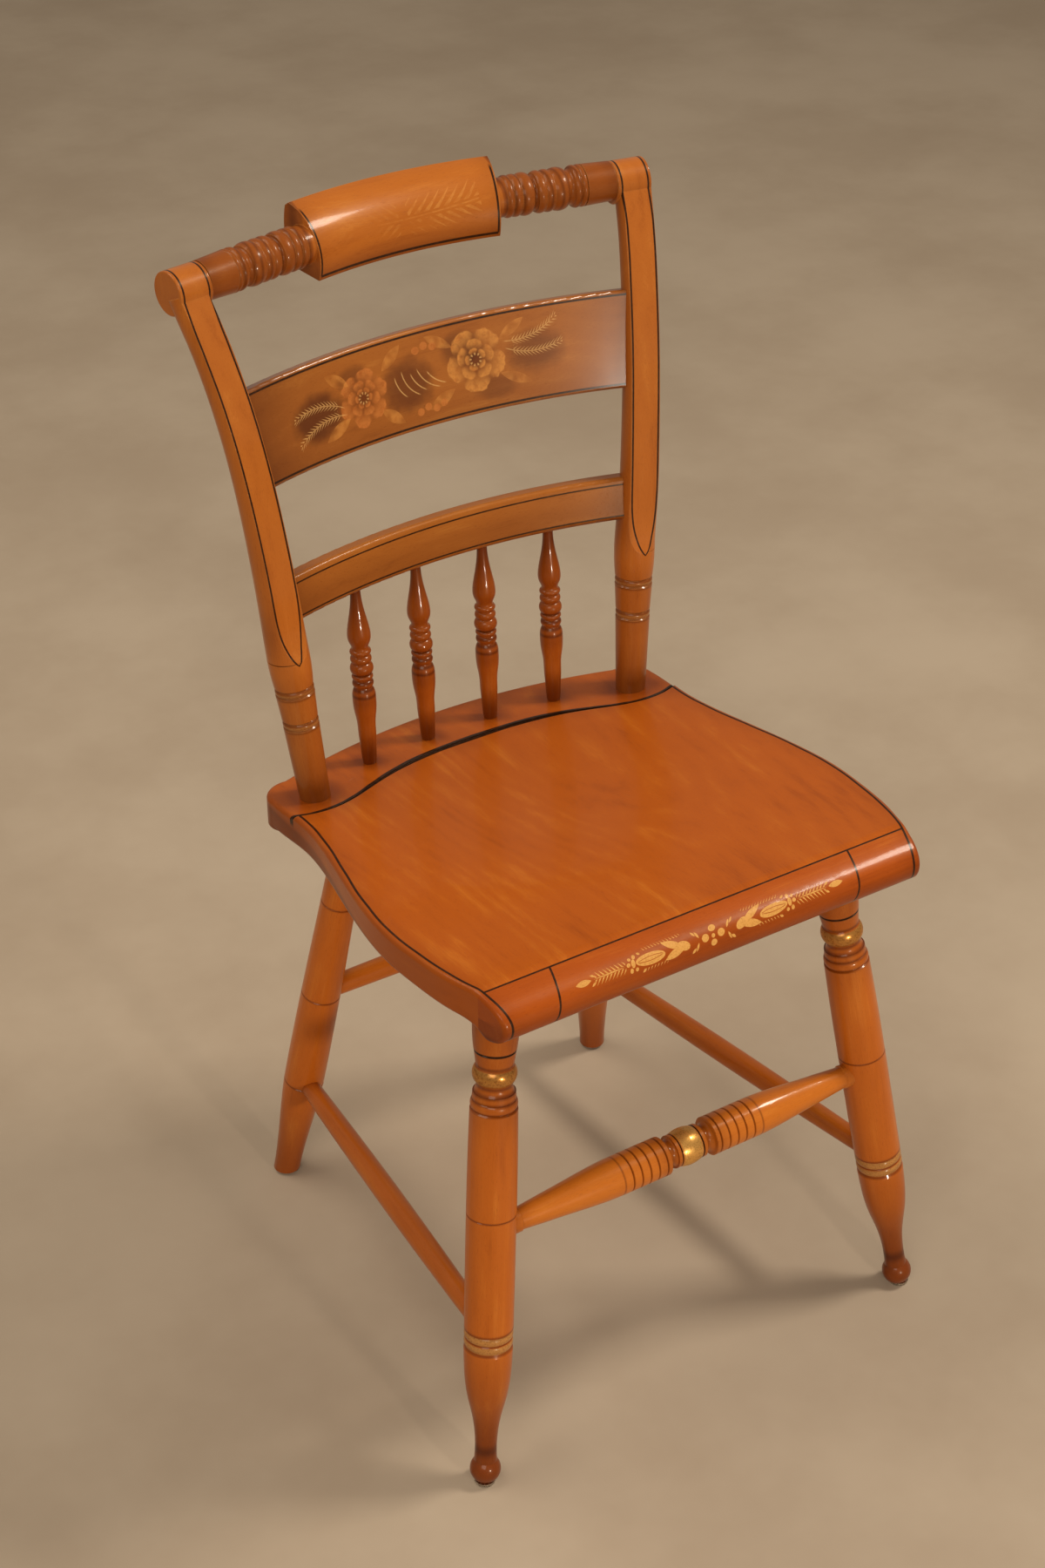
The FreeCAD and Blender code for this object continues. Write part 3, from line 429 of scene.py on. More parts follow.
@dataclass(frozen=True)
class HoneyMaple:
    """Maple with an amber stain that lies darker in its clouds and streaks."""

    deep: Colour = (0.270, 0.048, 0.003)
    body: Colour = (0.425, 0.088, 0.005)
    light: Colour = (0.580, 0.170, 0.016)
    streak: Point = (0.0011, 0.0011, 0.055)
    cloud: Point = (0.030, 0.030, 0.085)
    figure: Point = (0.060, 0.030, 0.420)
    fleck: Point = (0.0005, 0.0005, 0.0045)
    streaky: float = 0.30
    cloudy: float = 0.62
    figured: float = 0.09
    gloss: float = 0.34
    board_step: Point = (0.37, 0.73, 1.9)
    heart_step: float = 0.021
    heart_depth: float = 0.034

    def spread(self, bench: Bench, place: Socket, board: int) -> Coat:
        """Stains a piece.

        Args:
            bench: The bench of the piece's material.
            place: Places on the piece, with the grain along the third axis.
            board: The number of the board that the piece is cut from.

        Returns:
            The stained surface.
        """
        cut = tuple(step * board for step in self.board_step)
        heart = (self.heart_step * board, self.heart_depth, 0.0)
        streaks = bench.noise(bench.shift(place, cut, size=self.streak), 1.0, 3.0, 0.6)
        clouds = bench.noise(bench.shift(place, cut, size=self.cloud), 1.0, 2.5, 0.55)
        figure = bench.growth_rings(bench.shift(place, heart, size=self.figure), 1.6, 7.0)
        flecks = bench.noise(bench.shift(place, cut, size=self.fleck), 1.0, 1.0).above(0.66, 0.05)
        tone = (streaks - 0.5) * self.streaky + (clouds - 0.5) * self.cloudy + (figure - 0.5) * self.figured
        colour = bench.shades(tone + 0.5, ((0.12, self.deep), (0.50, self.body), (0.88, self.light)))
        coat = Coat(bench, colour, (streaks - 0.5) * 0.20 + self.gloss, 0.0, streaks * 0.6 - flecks * 0.5)
        coat.darken(flecks * 0.30, FLECK)
        return coat


@dataclass(frozen=True)
class Paint:
    """A paint that is brushed over the stain before the lacquer."""

    colour: Colour
    worn: Colour
    roughness: float
    metal: float
    body: float
    patch: float = 260.0

    def brush(self, coat: Coat, mask: Signal) -> None:
        """Lays the paint where a mask says, a little uneven as by hand.

        Args:
            coat: The surface so far.
            mask: Where the paint goes.
        """
        bench = coat.bench
        uneven = bench.noise(bench.place, self.patch, 3.0, 0.65)
        shade = bench.tint(uneven.above(0.58, 0.14), self.colour, self.worn)
        coat.colour = bench.tint(mask, coat.colour, shade)
        coat.roughness = coat.roughness + (uneven * 0.16 + (self.roughness - 0.08) - coat.roughness) * mask
        if self.body:
            coat.height = coat.height * (1.0 - mask * 0.7) + mask * self.body
        if self.metal:
            coat.metal = mask * self.metal


STRIPING = Paint((0.020, 0.006, 0.002), (0.050, 0.014, 0.004), 0.36, 0.0, 1.2)
BRONZE = Paint((0.76, 0.39, 0.095), (0.46, 0.200, 0.040), 0.34, 0.65, 0.8, 900.0)
OLD_BRONZE = Paint((0.50, 0.215, 0.042), (0.30, 0.105, 0.018), 0.30, 0.60, 0.6, 500.0)
BRONZE_WASH = Paint((0.46, 0.200, 0.050), (0.28, 0.100, 0.020), 0.34, 0.45, 0.5, 900.0)
STENCIL_GOLD = Paint((0.62, 0.300, 0.070), (0.48, 0.205, 0.040), 0.46, 0.0, 0.0, 700.0)
PALE_GOLD = Paint((0.74, 0.430, 0.140), (0.58, 0.290, 0.080), 0.46, 0.0, 0.0, 700.0)
PETAL = Paint((0.60, 0.240, 0.046), (0.49, 0.165, 0.026), 0.40, 0.0, 0.0, 240.0)
ROSE = Paint((0.52, 0.165, 0.030), (0.42, 0.115, 0.017), 0.40, 0.0, 0.0, 240.0)

CLEAR: Colour = (1.0, 1.0, 1.0)
AMBER: Colour = (1.0, 0.78, 0.52)
# The lighter colour along edges: rubbed stain and painted highlight.
RUBBED_STAIN_AND_EDGE_HIGHLIGHT: Colour = (0.66, 0.27, 0.060)
FLECK: Colour = (0.55, 0.42, 0.35)
DEEP_TONER: Colour = (0.26, 0.16, 0.14)
ROLL_TONER: Colour = (0.82, 0.66, 0.80)
CREST_TONER: Colour = (0.55, 0.47, 0.52)
SMOKE: Colour = (0.36, 0.30, 0.42)
PETAL_SHADE: Colour = (0.55, 0.44, 0.42)
FLOOR_DIRT: Colour = (0.45, 0.40, 0.36)
MAPLE = HoneyMaple()
TURNED_MAPLE = HoneyMaple(
    deep=(0.300, 0.058, 0.004), body=(0.480, 0.112, 0.009), light=(0.620, 0.190, 0.022),
    streak=(0.0009, 0.0009, 0.045), cloud=(0.020, 0.020, 0.070),
)
PALE_TURNED_MAPLE = replace(
    TURNED_MAPLE, deep=(0.370, 0.084, 0.008), body=(0.560, 0.152, 0.014), light=(0.690, 0.240, 0.030),
)
BACK_MAPLE = replace(
    TURNED_MAPLE, deep=(0.280, 0.062, 0.007), body=(0.440, 0.122, 0.015), light=(0.570, 0.195, 0.030),
    cloud=(0.024, 0.024, 0.080),
)
BROWNED_MAPLE = HoneyMaple(
    deep=(0.215, 0.055, 0.007), body=(0.360, 0.110, 0.015), light=(0.490, 0.180, 0.029),
)
LACQUER = Lacquer(0.16, 0.11, 0.00005)
TURNED_LACQUER = Lacquer(0.34, 0.08, 0.00004)
SLAT_LACQUER = Lacquer(1.00, 0.16, 0.00005)
BARE_STEEL = Lacquer(0.0, 0.2, 0.00002)
BARE_CONCRETE = Lacquer(0.0, 0.5, 0.0004)


@dataclass(frozen=True)
class Stroke:
    """One leaf, petal or dot of a stencil, pointed or round."""

    across: float
    up: float
    length: float
    width: float
    lean: float = 0.0
    rounded: bool = False

    def cut(self, bench: Bench, field: Socket) -> Signal:
        """Cuts the opening in the stencil.

        Args:
            bench: The bench of the material.
            field: Places on the stencil, in millimetres.

        Returns:
            A mask that is one inside the opening.
        """
        size = (self.length / 2, self.width / 2, 1.0)
        x, y, _ = bench.split(bench.lay(field, self.across, self.up, self.lean, size))
        y = y * y if self.rounded else abs(y)
        return (x * x + y).below(1.0, 0.30 / min(self.length, self.width))


def cut_all(bench: Bench, field: Socket, strokes: Iterable[Stroke]) -> Signal:
    """One mask that is one inside any of many strokes."""
    return any_of(stroke.cut(bench, field) for stroke in strokes)


def row_of_barbs(x: Signal, y: Signal, start: float, end: float, pitch: float, width: float,
                 reach: float, slant: float) -> Signal:
    """A row of slanted strokes on both sides of a stem, as on an ear of wheat.

    Args:
        x: Distance along the stem.
        y: Distance from the stem.
        start: Where the row starts.
        end: Where it ends.
        pitch: The distance from one stroke to the next.
        width: How thick a stroke is.
        reach: How far a stroke goes from the stem.
        slant: How far it leans along the stem for each unit away from it.

    Returns:
        A mask that is one on the strokes.
    """
    away = abs(y)
    cell = x.bench.work_out("PINGPONG", x - away * slant, pitch / 2)
    thick = (away * (-width / reach) + width) * 0.5
    barb = (cell - thick).below(0.0, 0.18) * away.near(reach * 0.55, reach * 0.40, 0.15)
    return barb * x.near((start + end) / 2, (end - start) / 2, 0.2)


# The chair's sub-assemblies


def dress(node: str, material: bpy.types.Material) -> None:
    """Gives a piece its finish in every material slot.

    Args:
        node: The piece's name.
        material: The finish.
    """
    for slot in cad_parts[node].material_slots:
        slot.material = material
    LOG.info("%s: %s, %d nodes", node, material.name, len(material.node_tree.nodes))


@dataclass
class SeatBoard:
    """The shaped seat with its rolled front, groove, striping and stencilled panel."""

    top: Point = (0.0, 0.0, 0.43)
    roll: Point = (0.0, -0.2, 0.43)
    half_width: float = 0.2031
    front_line: float = -0.2012
    roll_axis: Pair = (-0.2068, 0.430)
    roll_radius: float = 19.0
    panel_line: float = 10.7
    panel_slant: float = 0.22
    panel_centre: float = -4.5
    panel_half: float = 131.0
    stripe_inset: float = 0.0045
    nose_y: float = -0.22734
    depth: float = 0.3961
    side_reach: Pair = (0.85, 1.01)
    sides: Pairs = (
        (0.000, 0.890), (0.067, 0.929), (0.141, 0.966), (0.231, 0.990), (0.317, 1.000),
        (0.426, 0.982), (0.553, 0.936), (0.678, 0.890), (0.746, 0.878), (0.815, 0.883), (0.872, 0.884),
    )
    groove_front: float = 0.07946
    groove_back: float = 0.0324
    groove_span: Pair = (0.0, 0.93)
    groove: Pairs = (
        (0.00, 1.00), (0.22, 0.93), (0.37, 0.74), (0.51, 0.42), (0.62, 0.14), (0.72, 0.00),
        (0.79, 0.02), (0.85, 0.13), (0.93, 0.40),
    )
    spindle_radius: float = 0.0085
    post_foot: Pair = (0.1481, 0.1047)

    def stencil(self, bench: Bench, u: Signal, v: Signal) -> tuple[Signal, Signal]:
        """The bronze panel on the roll: a dot flower, tulips, leaves and sprigs.

        Args:
            bench: The bench of the seat's material.
            u: Distance from the panel's middle, in millimetres.
            v: Distance up the roll from the panel's line, in millimetres.

        Returns:
            The mask of the gold and the mask of its thin dark veins.
        """
        round_strokes = (
            (0.0, 0.0, 3.0, 3.0), (6.9, 0.3, 6.0, 5.6), (0.0, 5.8, 6.0, 5.2), (0.0, -4.6, 5.2, 4.4),
            (25.5, 1.0, 11.0, 6.6, 24), (54.0, 1.6, 25.0, 8.6, 3), (68.6, 2.4, 3.4, 6.2),
            (72.6, 2.4, 3.2, 3.0), (67.4, 7.0, 2.8, 3.6), (70.6, -2.2, 2.8, 3.4), (71.4, 6.2, 2.8, 2.2, 40),
            (66.2, -2.4, 2.6, 2.6),
        )
        pointed_strokes = (
            (13.6, 4.8, 6.4, 1.8, 62), (16.6, 6.4, 5.2, 1.6, 52), (14.0, -3.8, 6.0, 1.8, -64),
            (17.2, -5.4, 4.6, 2.0, -38), (34.5, 4.8, 20.0, 5.6, 28), (32.5, -1.4, 20.0, 5.6, -14),
            (63.0, 8.2, 3.4, 1.8, 30), (60.0, -5.0, 3.6, 1.8, -28), (89.0, 2.2, 26.0, 1.1),
            (110.5, 2.2, 13.0, 4.6), (102.6, 5.0, 4.4, 1.6, 30), (102.2, -1.0, 4.4, 1.6, -30),
        )
        strokes = [Stroke(*sizes, rounded=True) for sizes in round_strokes]
        strokes += [Stroke(*sizes) for sizes in pointed_strokes]
        along = abs(u)
        field = bench.join(along, v, 0.0)
        gold = any_of((
            cut_all(bench, field, strokes),
            row_of_barbs(along, v - 2.2, 75.0, 101.0, 3.2, 1.9, 5.2, 0.8),
            row_of_barbs(along, v - 8.6, 27.0, 60.0, 2.6, 1.1, 3.4, 0.7) * v.above(8.6, 0.2),
            row_of_barbs(along, v + 3.6, 40.0, 60.0, 2.8, 1.1, 2.6, 0.7) * v.below(-3.6, 0.2),
        ))
        bud_middle, bud_line = 54.0, 1.6
        swell = (1.0 - ((along - bud_middle) * 0.085).power(2.0)).either(0.0)
        veins = abs(v - bud_line).near(swell * 1.5, 0.22, 0.22) * along.near(bud_middle, 10.5, 0.6)
        return gold, veins

    def build(self) -> None:
        """Finishes the seat and reports it."""
        bench = Bench("maple_seat")
        x, y, z = bench.split(bench.place)
        coat = MAPLE.spread(bench, bench.shift(bench.place, self.top, Grain.FRONT_TO_BACK.value), 3)
        roll = MAPLE.spread(bench, bench.shift(bench.place, self.roll, Grain.CROSSWISE.value), 5)
        on_roll = y.below(self.front_line, 0.0004)
        coat.colour = bench.tint(on_roll, coat.colour, roll.colour)
        axis_y, axis_z = self.roll_axis
        v = bench.work_out("ARCTAN2", z - axis_z, axis_y - y) * self.roll_radius - self.panel_line
        u = x * MILLIMETRES - self.panel_centre - v * self.panel_slant

        # Painted shade on all that lies below the seat's top: its sides, its underside and the lower roll.
        coat.darken(z.below(0.4185, 0.003) * 0.75)
        coat.darken(on_roll * 0.65, ROLL_TONER)
        # Painted shade on the roll's lower part, which turns down.
        coat.darken(v.below(-7.0, 9.0) * on_roll * 0.55)
        deep = (y - self.nose_y) * (1.0 / self.depth)
        edge = bench.trace(deep, self.sides, reach=self.side_reach) * self.half_width - abs(x)
        coat.darken(edge.below(0.008, 0.016) * 0.40)
        out = abs(x) * (1.0 / self.half_width)
        hollow = bench.trace(out, self.groove, span=self.groove_span) * self.groove_back + self.groove_front
        behind = y - hollow
        coat.darken(behind.above(0.004, 0.012) * 0.12)
        coat.darken(behind.near(-0.006, 0.006, 0.010) * 0.25)
        # Painted shade around the spindle and post feet on the seat.
        for word in ("inner", "outer"):
            low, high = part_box(f"spindle_{word}_right")
            foot = ((low.x + high.x) / 2, low.y + self.spindle_radius)
            coat.darken(self.shade_round_foot(bench, foot, 0.010, 0.014))
        coat.darken(self.shade_round_foot(bench, self.post_foot, 0.018, 0.016))

        quill = bench.noise(bench.place, 40.0, 2.0) * 0.0008 + 0.0010
        fuller_middle = abs(x).below(0.075, 0.075) * 0.0002
        front_stripe = y.near(self.front_line, 0.0007, QUILL_SOFT) * z.above(0.44, 0.001)
        stripes = any_of((
            edge.near(self.stripe_inset, 0.00095, QUILL_SOFT) * behind.below(0.0, 0.002),
            front_stripe * edge.above(self.stripe_inset, QUILL_SOFT),
            abs(u).near(self.panel_half, 0.85, 0.25) * on_roll,
            (abs(behind) - quill - fuller_middle).below(0.0010, 0.0005) * z.above(0.42, 0.003),
        ))
        gold, veins = self.stencil(bench, u, v)
        front_face = on_roll * z.above(0.418, 0.002)
        coat.darken(abs(u).below(101.0, 26.0) * abs(v - 1.0).below(8.5, 3.0) * front_face * 0.30)
        coat.ease_edges(0.0012, 0.30)
        STENCIL_GOLD.brush(coat, gold * front_face * (1.0 - veins))
        STRIPING.brush(coat, stripes)
        dress("seat", coat.close(LACQUER))

    def shade_round_foot(self, bench: Bench, foot: Pair, radius: float, soft: float) -> Signal:
        """Painted shade around a foot where it stands in the seat, on both sides of the chair.

        Args:
            bench: The bench of the seat's material.
            foot: How far the foot is from the middle, and how far back.
            radius: The radius that is darkest.
            soft: How far the shade fades out.

        Returns:
            The mask of the shade.
        """
        x, y, z = bench.split(bench.place)
        across, back = abs(x) - foot[0], y - foot[1]
        away = (across * across + back * back).power(0.5)
        cloud = bench.noise(bench.place, 70.0, 2.0) * 0.006 - 0.003
        return bench.rise(away + cloud, radius + soft, radius - 0.004) * z.above(0.42, 0.002) * 0.70


@dataclass
class Turning:
    """A turned piece: its axis, darkened stretches (toner, and painted shade where it meets other parts),
    dark scribed rings and bronze bands.
    """

    name: str
    foot: Point
    top: Point
    board: int
    shades: tuple[tuple[float, float, float], ...] = ()
    scribes: Pairs = ()
    bands: Pairs = ()
    washes: Pairs = ()
    lines: Pairs = ()
    scribe_strength: float = 0.68
    brush_soft: float = 0.0006

    def build(self, side: Side = Side.RIGHT) -> None:
        """Finishes the piece and reports it.

        Args:
            side: The side of the chair that it stands on; the axis is given for the right.
        """
        bench = Bench("maple_" + self.name)
        place = bench.along(side.mirrored(self.foot), side.mirrored(self.top))
        coat = TURNED_MAPLE.spread(bench, place, self.board + side.value)
        _, _, station = bench.split(place)
        drift = bench.noise(bench.place, 45.0, 2.0) * 0.010 - 0.005
        for start, end, strength in self.shades:
            coat.darken(bench.rise(station + drift, start, end) * strength)
        for spot, half in self.scribes:
            coat.darken(station.near(spot, half, half) * self.scribe_strength, DEEP_TONER)
        for paint, spans in ((BRONZE_WASH, self.washes), (OLD_BRONZE, self.bands), (STRIPING, self.lines)):
            if spans:
                rings = (station.near(spot, half, self.brush_soft) for spot, half in spans)
                paint.brush(coat, any_of(rings))
        dress(self.name, coat.close(TURNED_LACQUER))


@dataclass
class Legs:
    """Four splayed legs, the front pair richly turned, on metal glides."""

    front_foot: Point = (0.20275, -0.22684, 0.0)
    front_top: Point = (0.14830, -0.16114, 0.420)
    rear_foot: Point = (0.16054, 0.16977, 0.0)
    rear_top: Point = (0.10935, 0.10121, 0.420)
    press_marks: Point = (0.004, 0.004, 0.0004)

    def build(self) -> None:
        """Finishes the legs and their glides, and reports them."""
        for side in Side:
            word = side.name.lower()
            Turning(
                f"front_leg_{word}", self.front_foot, self.front_top, 11,
                # The last shade darkens the top under the seat: painted shade.
                shades=((0.105, 0.026, 0.95), (0.135, 0.095, 0.32), (0.290, 0.350, 0.45)),
                scribes=(
                    (0.238, 0.0008), (0.1235, 0.0012), (0.1315, 0.0010), (0.1395, 0.0012), (0.327, 0.0012),
                    (0.3345, 0.0012), (0.3405, 0.0014), (0.3465, 0.0014), (0.3625, 0.0012), (0.0310, 0.0040),
                ),
                bands=((0.3546, 0.0058),),
                washes=((0.1275, 0.0030), (0.1355, 0.0030)),
                lines=((0.374, 0.0011),),
            ).build(side)
            Turning(
                f"rear_leg_{word}", self.rear_foot, self.rear_top, 17,
                # The second shade darkens the top under the seat: painted shade.
                shades=((0.110, 0.005, 0.75), (0.330, 0.400, 0.55)),
                scribes=((0.1105, 0.0010), (0.2112, 0.0010), (0.3123, 0.0010)),
            ).build(side)
            for end in ("front", "rear"):
                self.glide(f"{end}_glide_{word}")

    def glide(self, name: str) -> None:
        """Finishes one pressed steel glide, scuffed by the floor.

        Args:
            name: The glide's name.
        """
        bench = Bench("nickel_" + name)
        wear = bench.noise(bench.place, 900.0, 3.0, 0.6)
        marks = bench.noise(bench.shift(bench.place, ORIGIN, size=self.press_marks), 1.0, 2.0)
        _, _, z = bench.split(bench.place)
        colour = bench.shades(wear, ((0.25, (0.30, 0.27, 0.23)), (0.65, (0.62, 0.58, 0.52))))
        coat = Coat(bench, colour, wear * 0.30 + 0.12, 1.0, marks)
        coat.darken(z.below(0.0012, 0.0012) * 0.5, FLOOR_DIRT)
        dress(name, coat.close(BARE_STEEL))


@dataclass
class Stretchers:
    """The turned front stretcher with its bronze ball, and three plain swelled ones."""

    front_z: float = 0.2175
    rib_start: float = 0.0251
    rib_pitch: float = 0.007825
    rib_count: int = 5
    ball_half: float = 0.0093
    side_front: Point = (0.18577, -0.20634, 0.131)
    side_rear: Point = (0.14750, 0.15230, 0.107)
    rear_half: float = 0.17
    rear_z: float = 0.208

    def build(self) -> None:
        """Finishes the stretchers and reports them."""
        self.front()
        low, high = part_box("rear_stretcher")
        left_end = (-self.rear_half, (low.y + high.y) / 2, self.rear_z)
        Turning(
            "rear_stretcher", left_end, Side.LEFT.mirrored(left_end), 31,
            # Both shades darken the ends where it meets the legs: painted shade.
            shades=((0.055, 0.030, 0.5), (0.285, 0.310, 0.5)),
        ).build()
        length = (Vector(self.side_rear) - Vector(self.side_front)).length
        for side in Side:
            Turning(
                f"side_stretcher_{side.name.lower()}", self.side_front, self.side_rear, 37,
                # The first two darken the ends where it meets the legs: painted shade.
                shades=((0.040, 0.005, 0.6), (length - 0.040, length - 0.005, 0.6), (-0.020, -0.010, 0.20)),
            ).build(side)

    def front(self) -> None:
        """Finishes the front stretcher, whose two halves mirror each other."""
        low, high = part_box("front_stretcher")
        middle = (0.0, (low.y + high.y) / 2, self.front_z)
        bench = Bench("maple_front_stretcher")
        coat = PALE_TURNED_MAPLE.spread(bench, bench.shift(bench.place, middle, Grain.CROSSWISE.value), 23)
        x, _, _ = bench.split(bench.place)
        out = abs(x)
        drift = bench.noise(bench.place, 45.0, 2.0) * 0.008 - 0.004
        # Painted shade towards the ends, where it meets the legs.
        coat.darken(bench.rise(out + drift, 0.135, 0.165) * 0.6)
        coat.darken(out.below(0.030, 0.008) * 0.45)
        for rib in range(self.rib_count + 1):
            coat.darken(out.near(self.rib_start + rib * self.rib_pitch, 0.0006, 0.0009) * 0.75, DEEP_TONER)
        coat.darken(out.near(0.0165, 0.0012, 0.0030) * 0.5, DEEP_TONER)
        BRONZE.brush(coat, out.below(self.ball_half - 0.0008, 0.0012))
        STRIPING.brush(coat, out.near(self.ball_half + 0.0006, 0.0006, 0.0004))
        dress("front_stretcher", coat.close(TURNED_LACQUER))


@dataclass
class BackPosts:
    """The two bent posts: turned below, flattened above, with a stripe along each arris."""

    yaw: float = math.radians(9)
    foot: Point = (0.1481, 0.1047, 0.4267)
    shoulder: Point = (0.1578, 0.1178, 0.548)
    bend_span: Pair = (0.60, 0.86)
    bend_back: float = 0.035
    stripe_offset: float = 10.9
    tip: float = 548.0
    tip_length: float = 52.0
    tip_spread: Pairs = ((0.0, 0.0), (0.06, 0.24), (0.22, 0.55), (0.55, 0.88), (1.0, 1.0))
    rings: Pair = (0.066, 0.0945)
    lower_slope: float = 0.047
    face_depth: float = 14.0
    head_start: float = 828.0
    middle_line: Pairs = (
        (594.0, 141.7), (650.0, 144.97), (702.0, 148.57), (753.0, 152.60), (793.5, 156.68), (812.0, 158.10),
        (845.0, 158.10),
    )
    front_line: Pairs = (
        (540.0, 101.0), (594.0, 108.0), (650.0, 115.0), (702.0, 123.0), (753.0, 136.0), (793.5, 151.0),
        (827.0, 172.0),
    )

    def build(self) -> None:
        """Finishes both posts and reports them."""
        for side in Side:
            self.post(side)

    def post(self, side: Side) -> None:
        """Finishes one post.

        Args:
            side: The side of the chair that it stands on.
        """
        name = "back_post_" + side.name.lower()
        bench = Bench("maple_" + name)
        x, y, z = bench.split(bench.place)
        place = bench.along(side.mirrored(self.foot), side.mirrored(self.shoulder))
        across, deep, station = bench.split(place)
        straight = bench.join(across, deep - bench.rise(z, *self.bend_span) * self.bend_back, station)
        coat = BACK_MAPLE.spread(bench, straight, 41 + side.value)

        height = z * MILLIMETRES
        wide = (x * (side.value * math.cos(self.yaw)) - y * math.sin(self.yaw)) * MILLIMETRES
        upper_start = self.middle_line[0][0]
        below_start = ((height - upper_start) * self.lower_slope).lesser(0.0)
        away = wide - (bench.trace_rise(height, self.middle_line) + below_start)
        apart = bench.trace((height - self.tip) * (1.0 / self.tip_length), self.tip_spread)
        line = abs(away).near(apart * self.stripe_offset, 0.75, 0.22) * height.above(self.tip - 0.5, 0.5)
        behind_front = y * MILLIMETRES - bench.trace_rise(height, self.front_line)
        facing = behind_front.below(self.face_depth, 1.0).either(height.above(self.head_start, 1.0))

        # Painted shade at the foot, where the post meets the seat.
        coat.darken(station.below(0.030, 0.040) * 0.75)
        coat.darken(station.below(0.095, 0.040) * 0.35)
        for spot in self.rings:
            coat.darken(station.near(spot, 0.0042, 0.0012) * 0.55, DEEP_TONER)
            coat.darken(station.near(spot, 0.012, 0.010) * 0.20)
            BRONZE_WASH.brush(coat, station.near(spot, 0.0016, 0.0008) * 0.55)
        # Painted shade on the post's sides, deepest on its inner side.
        coat.darken(z.near(0.5715, 0.016, 0.018) * abs(away).above(11.5, 2.0) * 0.35)
        coat.darken(abs(away).above(10.5, 3.0) * height.above(560.0, 20.0) * 0.18)
        coat.darken(away.below(-12.5, 2.0) * height.above(600.0, 20.0) * 0.35)
        coat.ease_edges(0.0010, 0.45)
        STRIPING.brush(coat, line * facing)
        dress(name, coat.close(TURNED_LACQUER))


@dataclass
class CrestRail:
    """The crest: a bowed pillow striped round its face, between two turned ends."""

    axis_z: float = 0.8295
    pillow_half: float = 0.0819
    bow_centre_y: float = -0.1347
    bow_radius: float = 0.3512
    end_angle: float = 0.2303
    face_slope: Pair = (0.502, 0.865)
    face_lines: Pair = (-0.0262, 0.0294)
    rings: tuple[float, ...] = (0.0845, 0.0915, 0.0985, 0.1090, 0.1205, 0.1290, 0.1345, 0.1440)

    def build(self) -> None:
        """Finishes the crest rail and reports it."""
        bench = Bench("maple_crest_rail")
        place = bench.shift(bench.place, (0.0, 0.20, self.axis_z), Grain.CROSSWISE.value)
        coat = BACK_MAPLE.spread(bench, place, 7)
        x, y, z = bench.split(bench.place)
        out = abs(x)
        pillow = out.below(self.pillow_half, QUILL_SOFT)
        coat.darken((1.0 - pillow) * 0.90, CREST_TONER)
        for ring in self.rings:
            coat.darken(out.near(ring, 0.0010, 0.0012) * 0.55, DEEP_TONER)
        # Painted shade at the ends, where the crest meets the posts.
        coat.darken(bench.rise(out, 0.160, 0.176) * 0.45)
        # Painted shade on the pillow's lower part.
        coat.darken(pillow * z.below(0.814, 0.012) * 0.75)
        coat.darken(pillow * out.above(0.074, 0.010) * 0.25)

        deep = y - self.bow_centre_y
        angle = abs(bench.work_out("ARCTAN2", x, deep))
        back = (x * x + deep * deep).power(0.5) - self.bow_radius
        rise = back * self.face_slope[0] + (z - self.axis_z) * self.face_slope[1]
        low, high = self.face_lines
        within = rise.near((low + high) / 2, (high - low) / 2, QUILL_SOFT)
        ends = angle.near(self.end_angle, 0.0024, 0.0008) * within
        rims = any_of(rise.near(rim, 0.0008, QUILL_SOFT) for rim in self.face_lines)
        face = bench.front(-0.42, 0.08) * pillow
        coat.ease_edges(0.0010, 0.40)
        self.sprigs(bench, coat, x * MILLIMETRES, (z - self.axis_z) * MILLIMETRES, face)
        STRIPING.brush(coat, ends.either(rims * angle.below(self.end_angle, 0.0008)) * face)
        dress("crest_rail", coat.close(LACQUER))

    def sprigs(self, bench: Bench, coat: Coat, x: Signal, up: Signal, face: Signal) -> None:
        """Two rubbed feathers that fan out from the pillow's middle.

        Args:
            bench: The bench of the crest's material.
            coat: The surface so far.
            x: Distance from the middle, in millimetres.
            up: Distance above the axis, in millimetres.
            face: The mask of the pillow's front.
        """
        along = abs(x)
        lift = up - 3.0 - (along * along) * 0.0012
        barbs = row_of_barbs(along, lift, 4.0, 64.0, 8.4, 5.6, 13.5, 1.4)
        stem = lift.near(0.0, 0.45, 0.3) * along.near(32.0, 31.0, 1.0)
        rubbed = bench.noise(bench.place, 90.0, 2.0).above(0.45, 0.16) * (x.above(-8.0, 22.0) * 0.85 + 0.15)
        PETAL.brush(coat, barbs.either(stem) * rubbed * face * 0.60)


@dataclass
class BowedBoard:
    """A bowed board of the back, striped along both edges of its front."""

    node: str
    middle: Point
    board: int
    edges: Pair
    quill_half: float
    lacquer: Lacquer

    def build(self) -> None:
        """Finishes the board and reports it."""
        bench = Bench("maple_" + self.node)
        place = bench.shift(bench.place, self.middle, Grain.CROSSWISE.value)
        coat = BROWNED_MAPLE.spread(bench, place, self.board)
        x, _, z = bench.split(bench.place)
        front = bench.front(-0.3, 0.2)
        self.tone(coat, x, z, front)
        coat.ease_edges(0.0012, 0.40)
        STRIPING.brush(coat, any_of(z.near(edge, self.quill_half, QUILL_SOFT) for edge in self.edges) * front)
        dress(self.node, coat.close(self.lacquer))

    def tone(self, coat: Coat, x: Signal, z: Signal, front: Signal) -> None:
        """Paints shade on the board before it is striped, each kind of board in its own way."""
        raise NotImplementedError


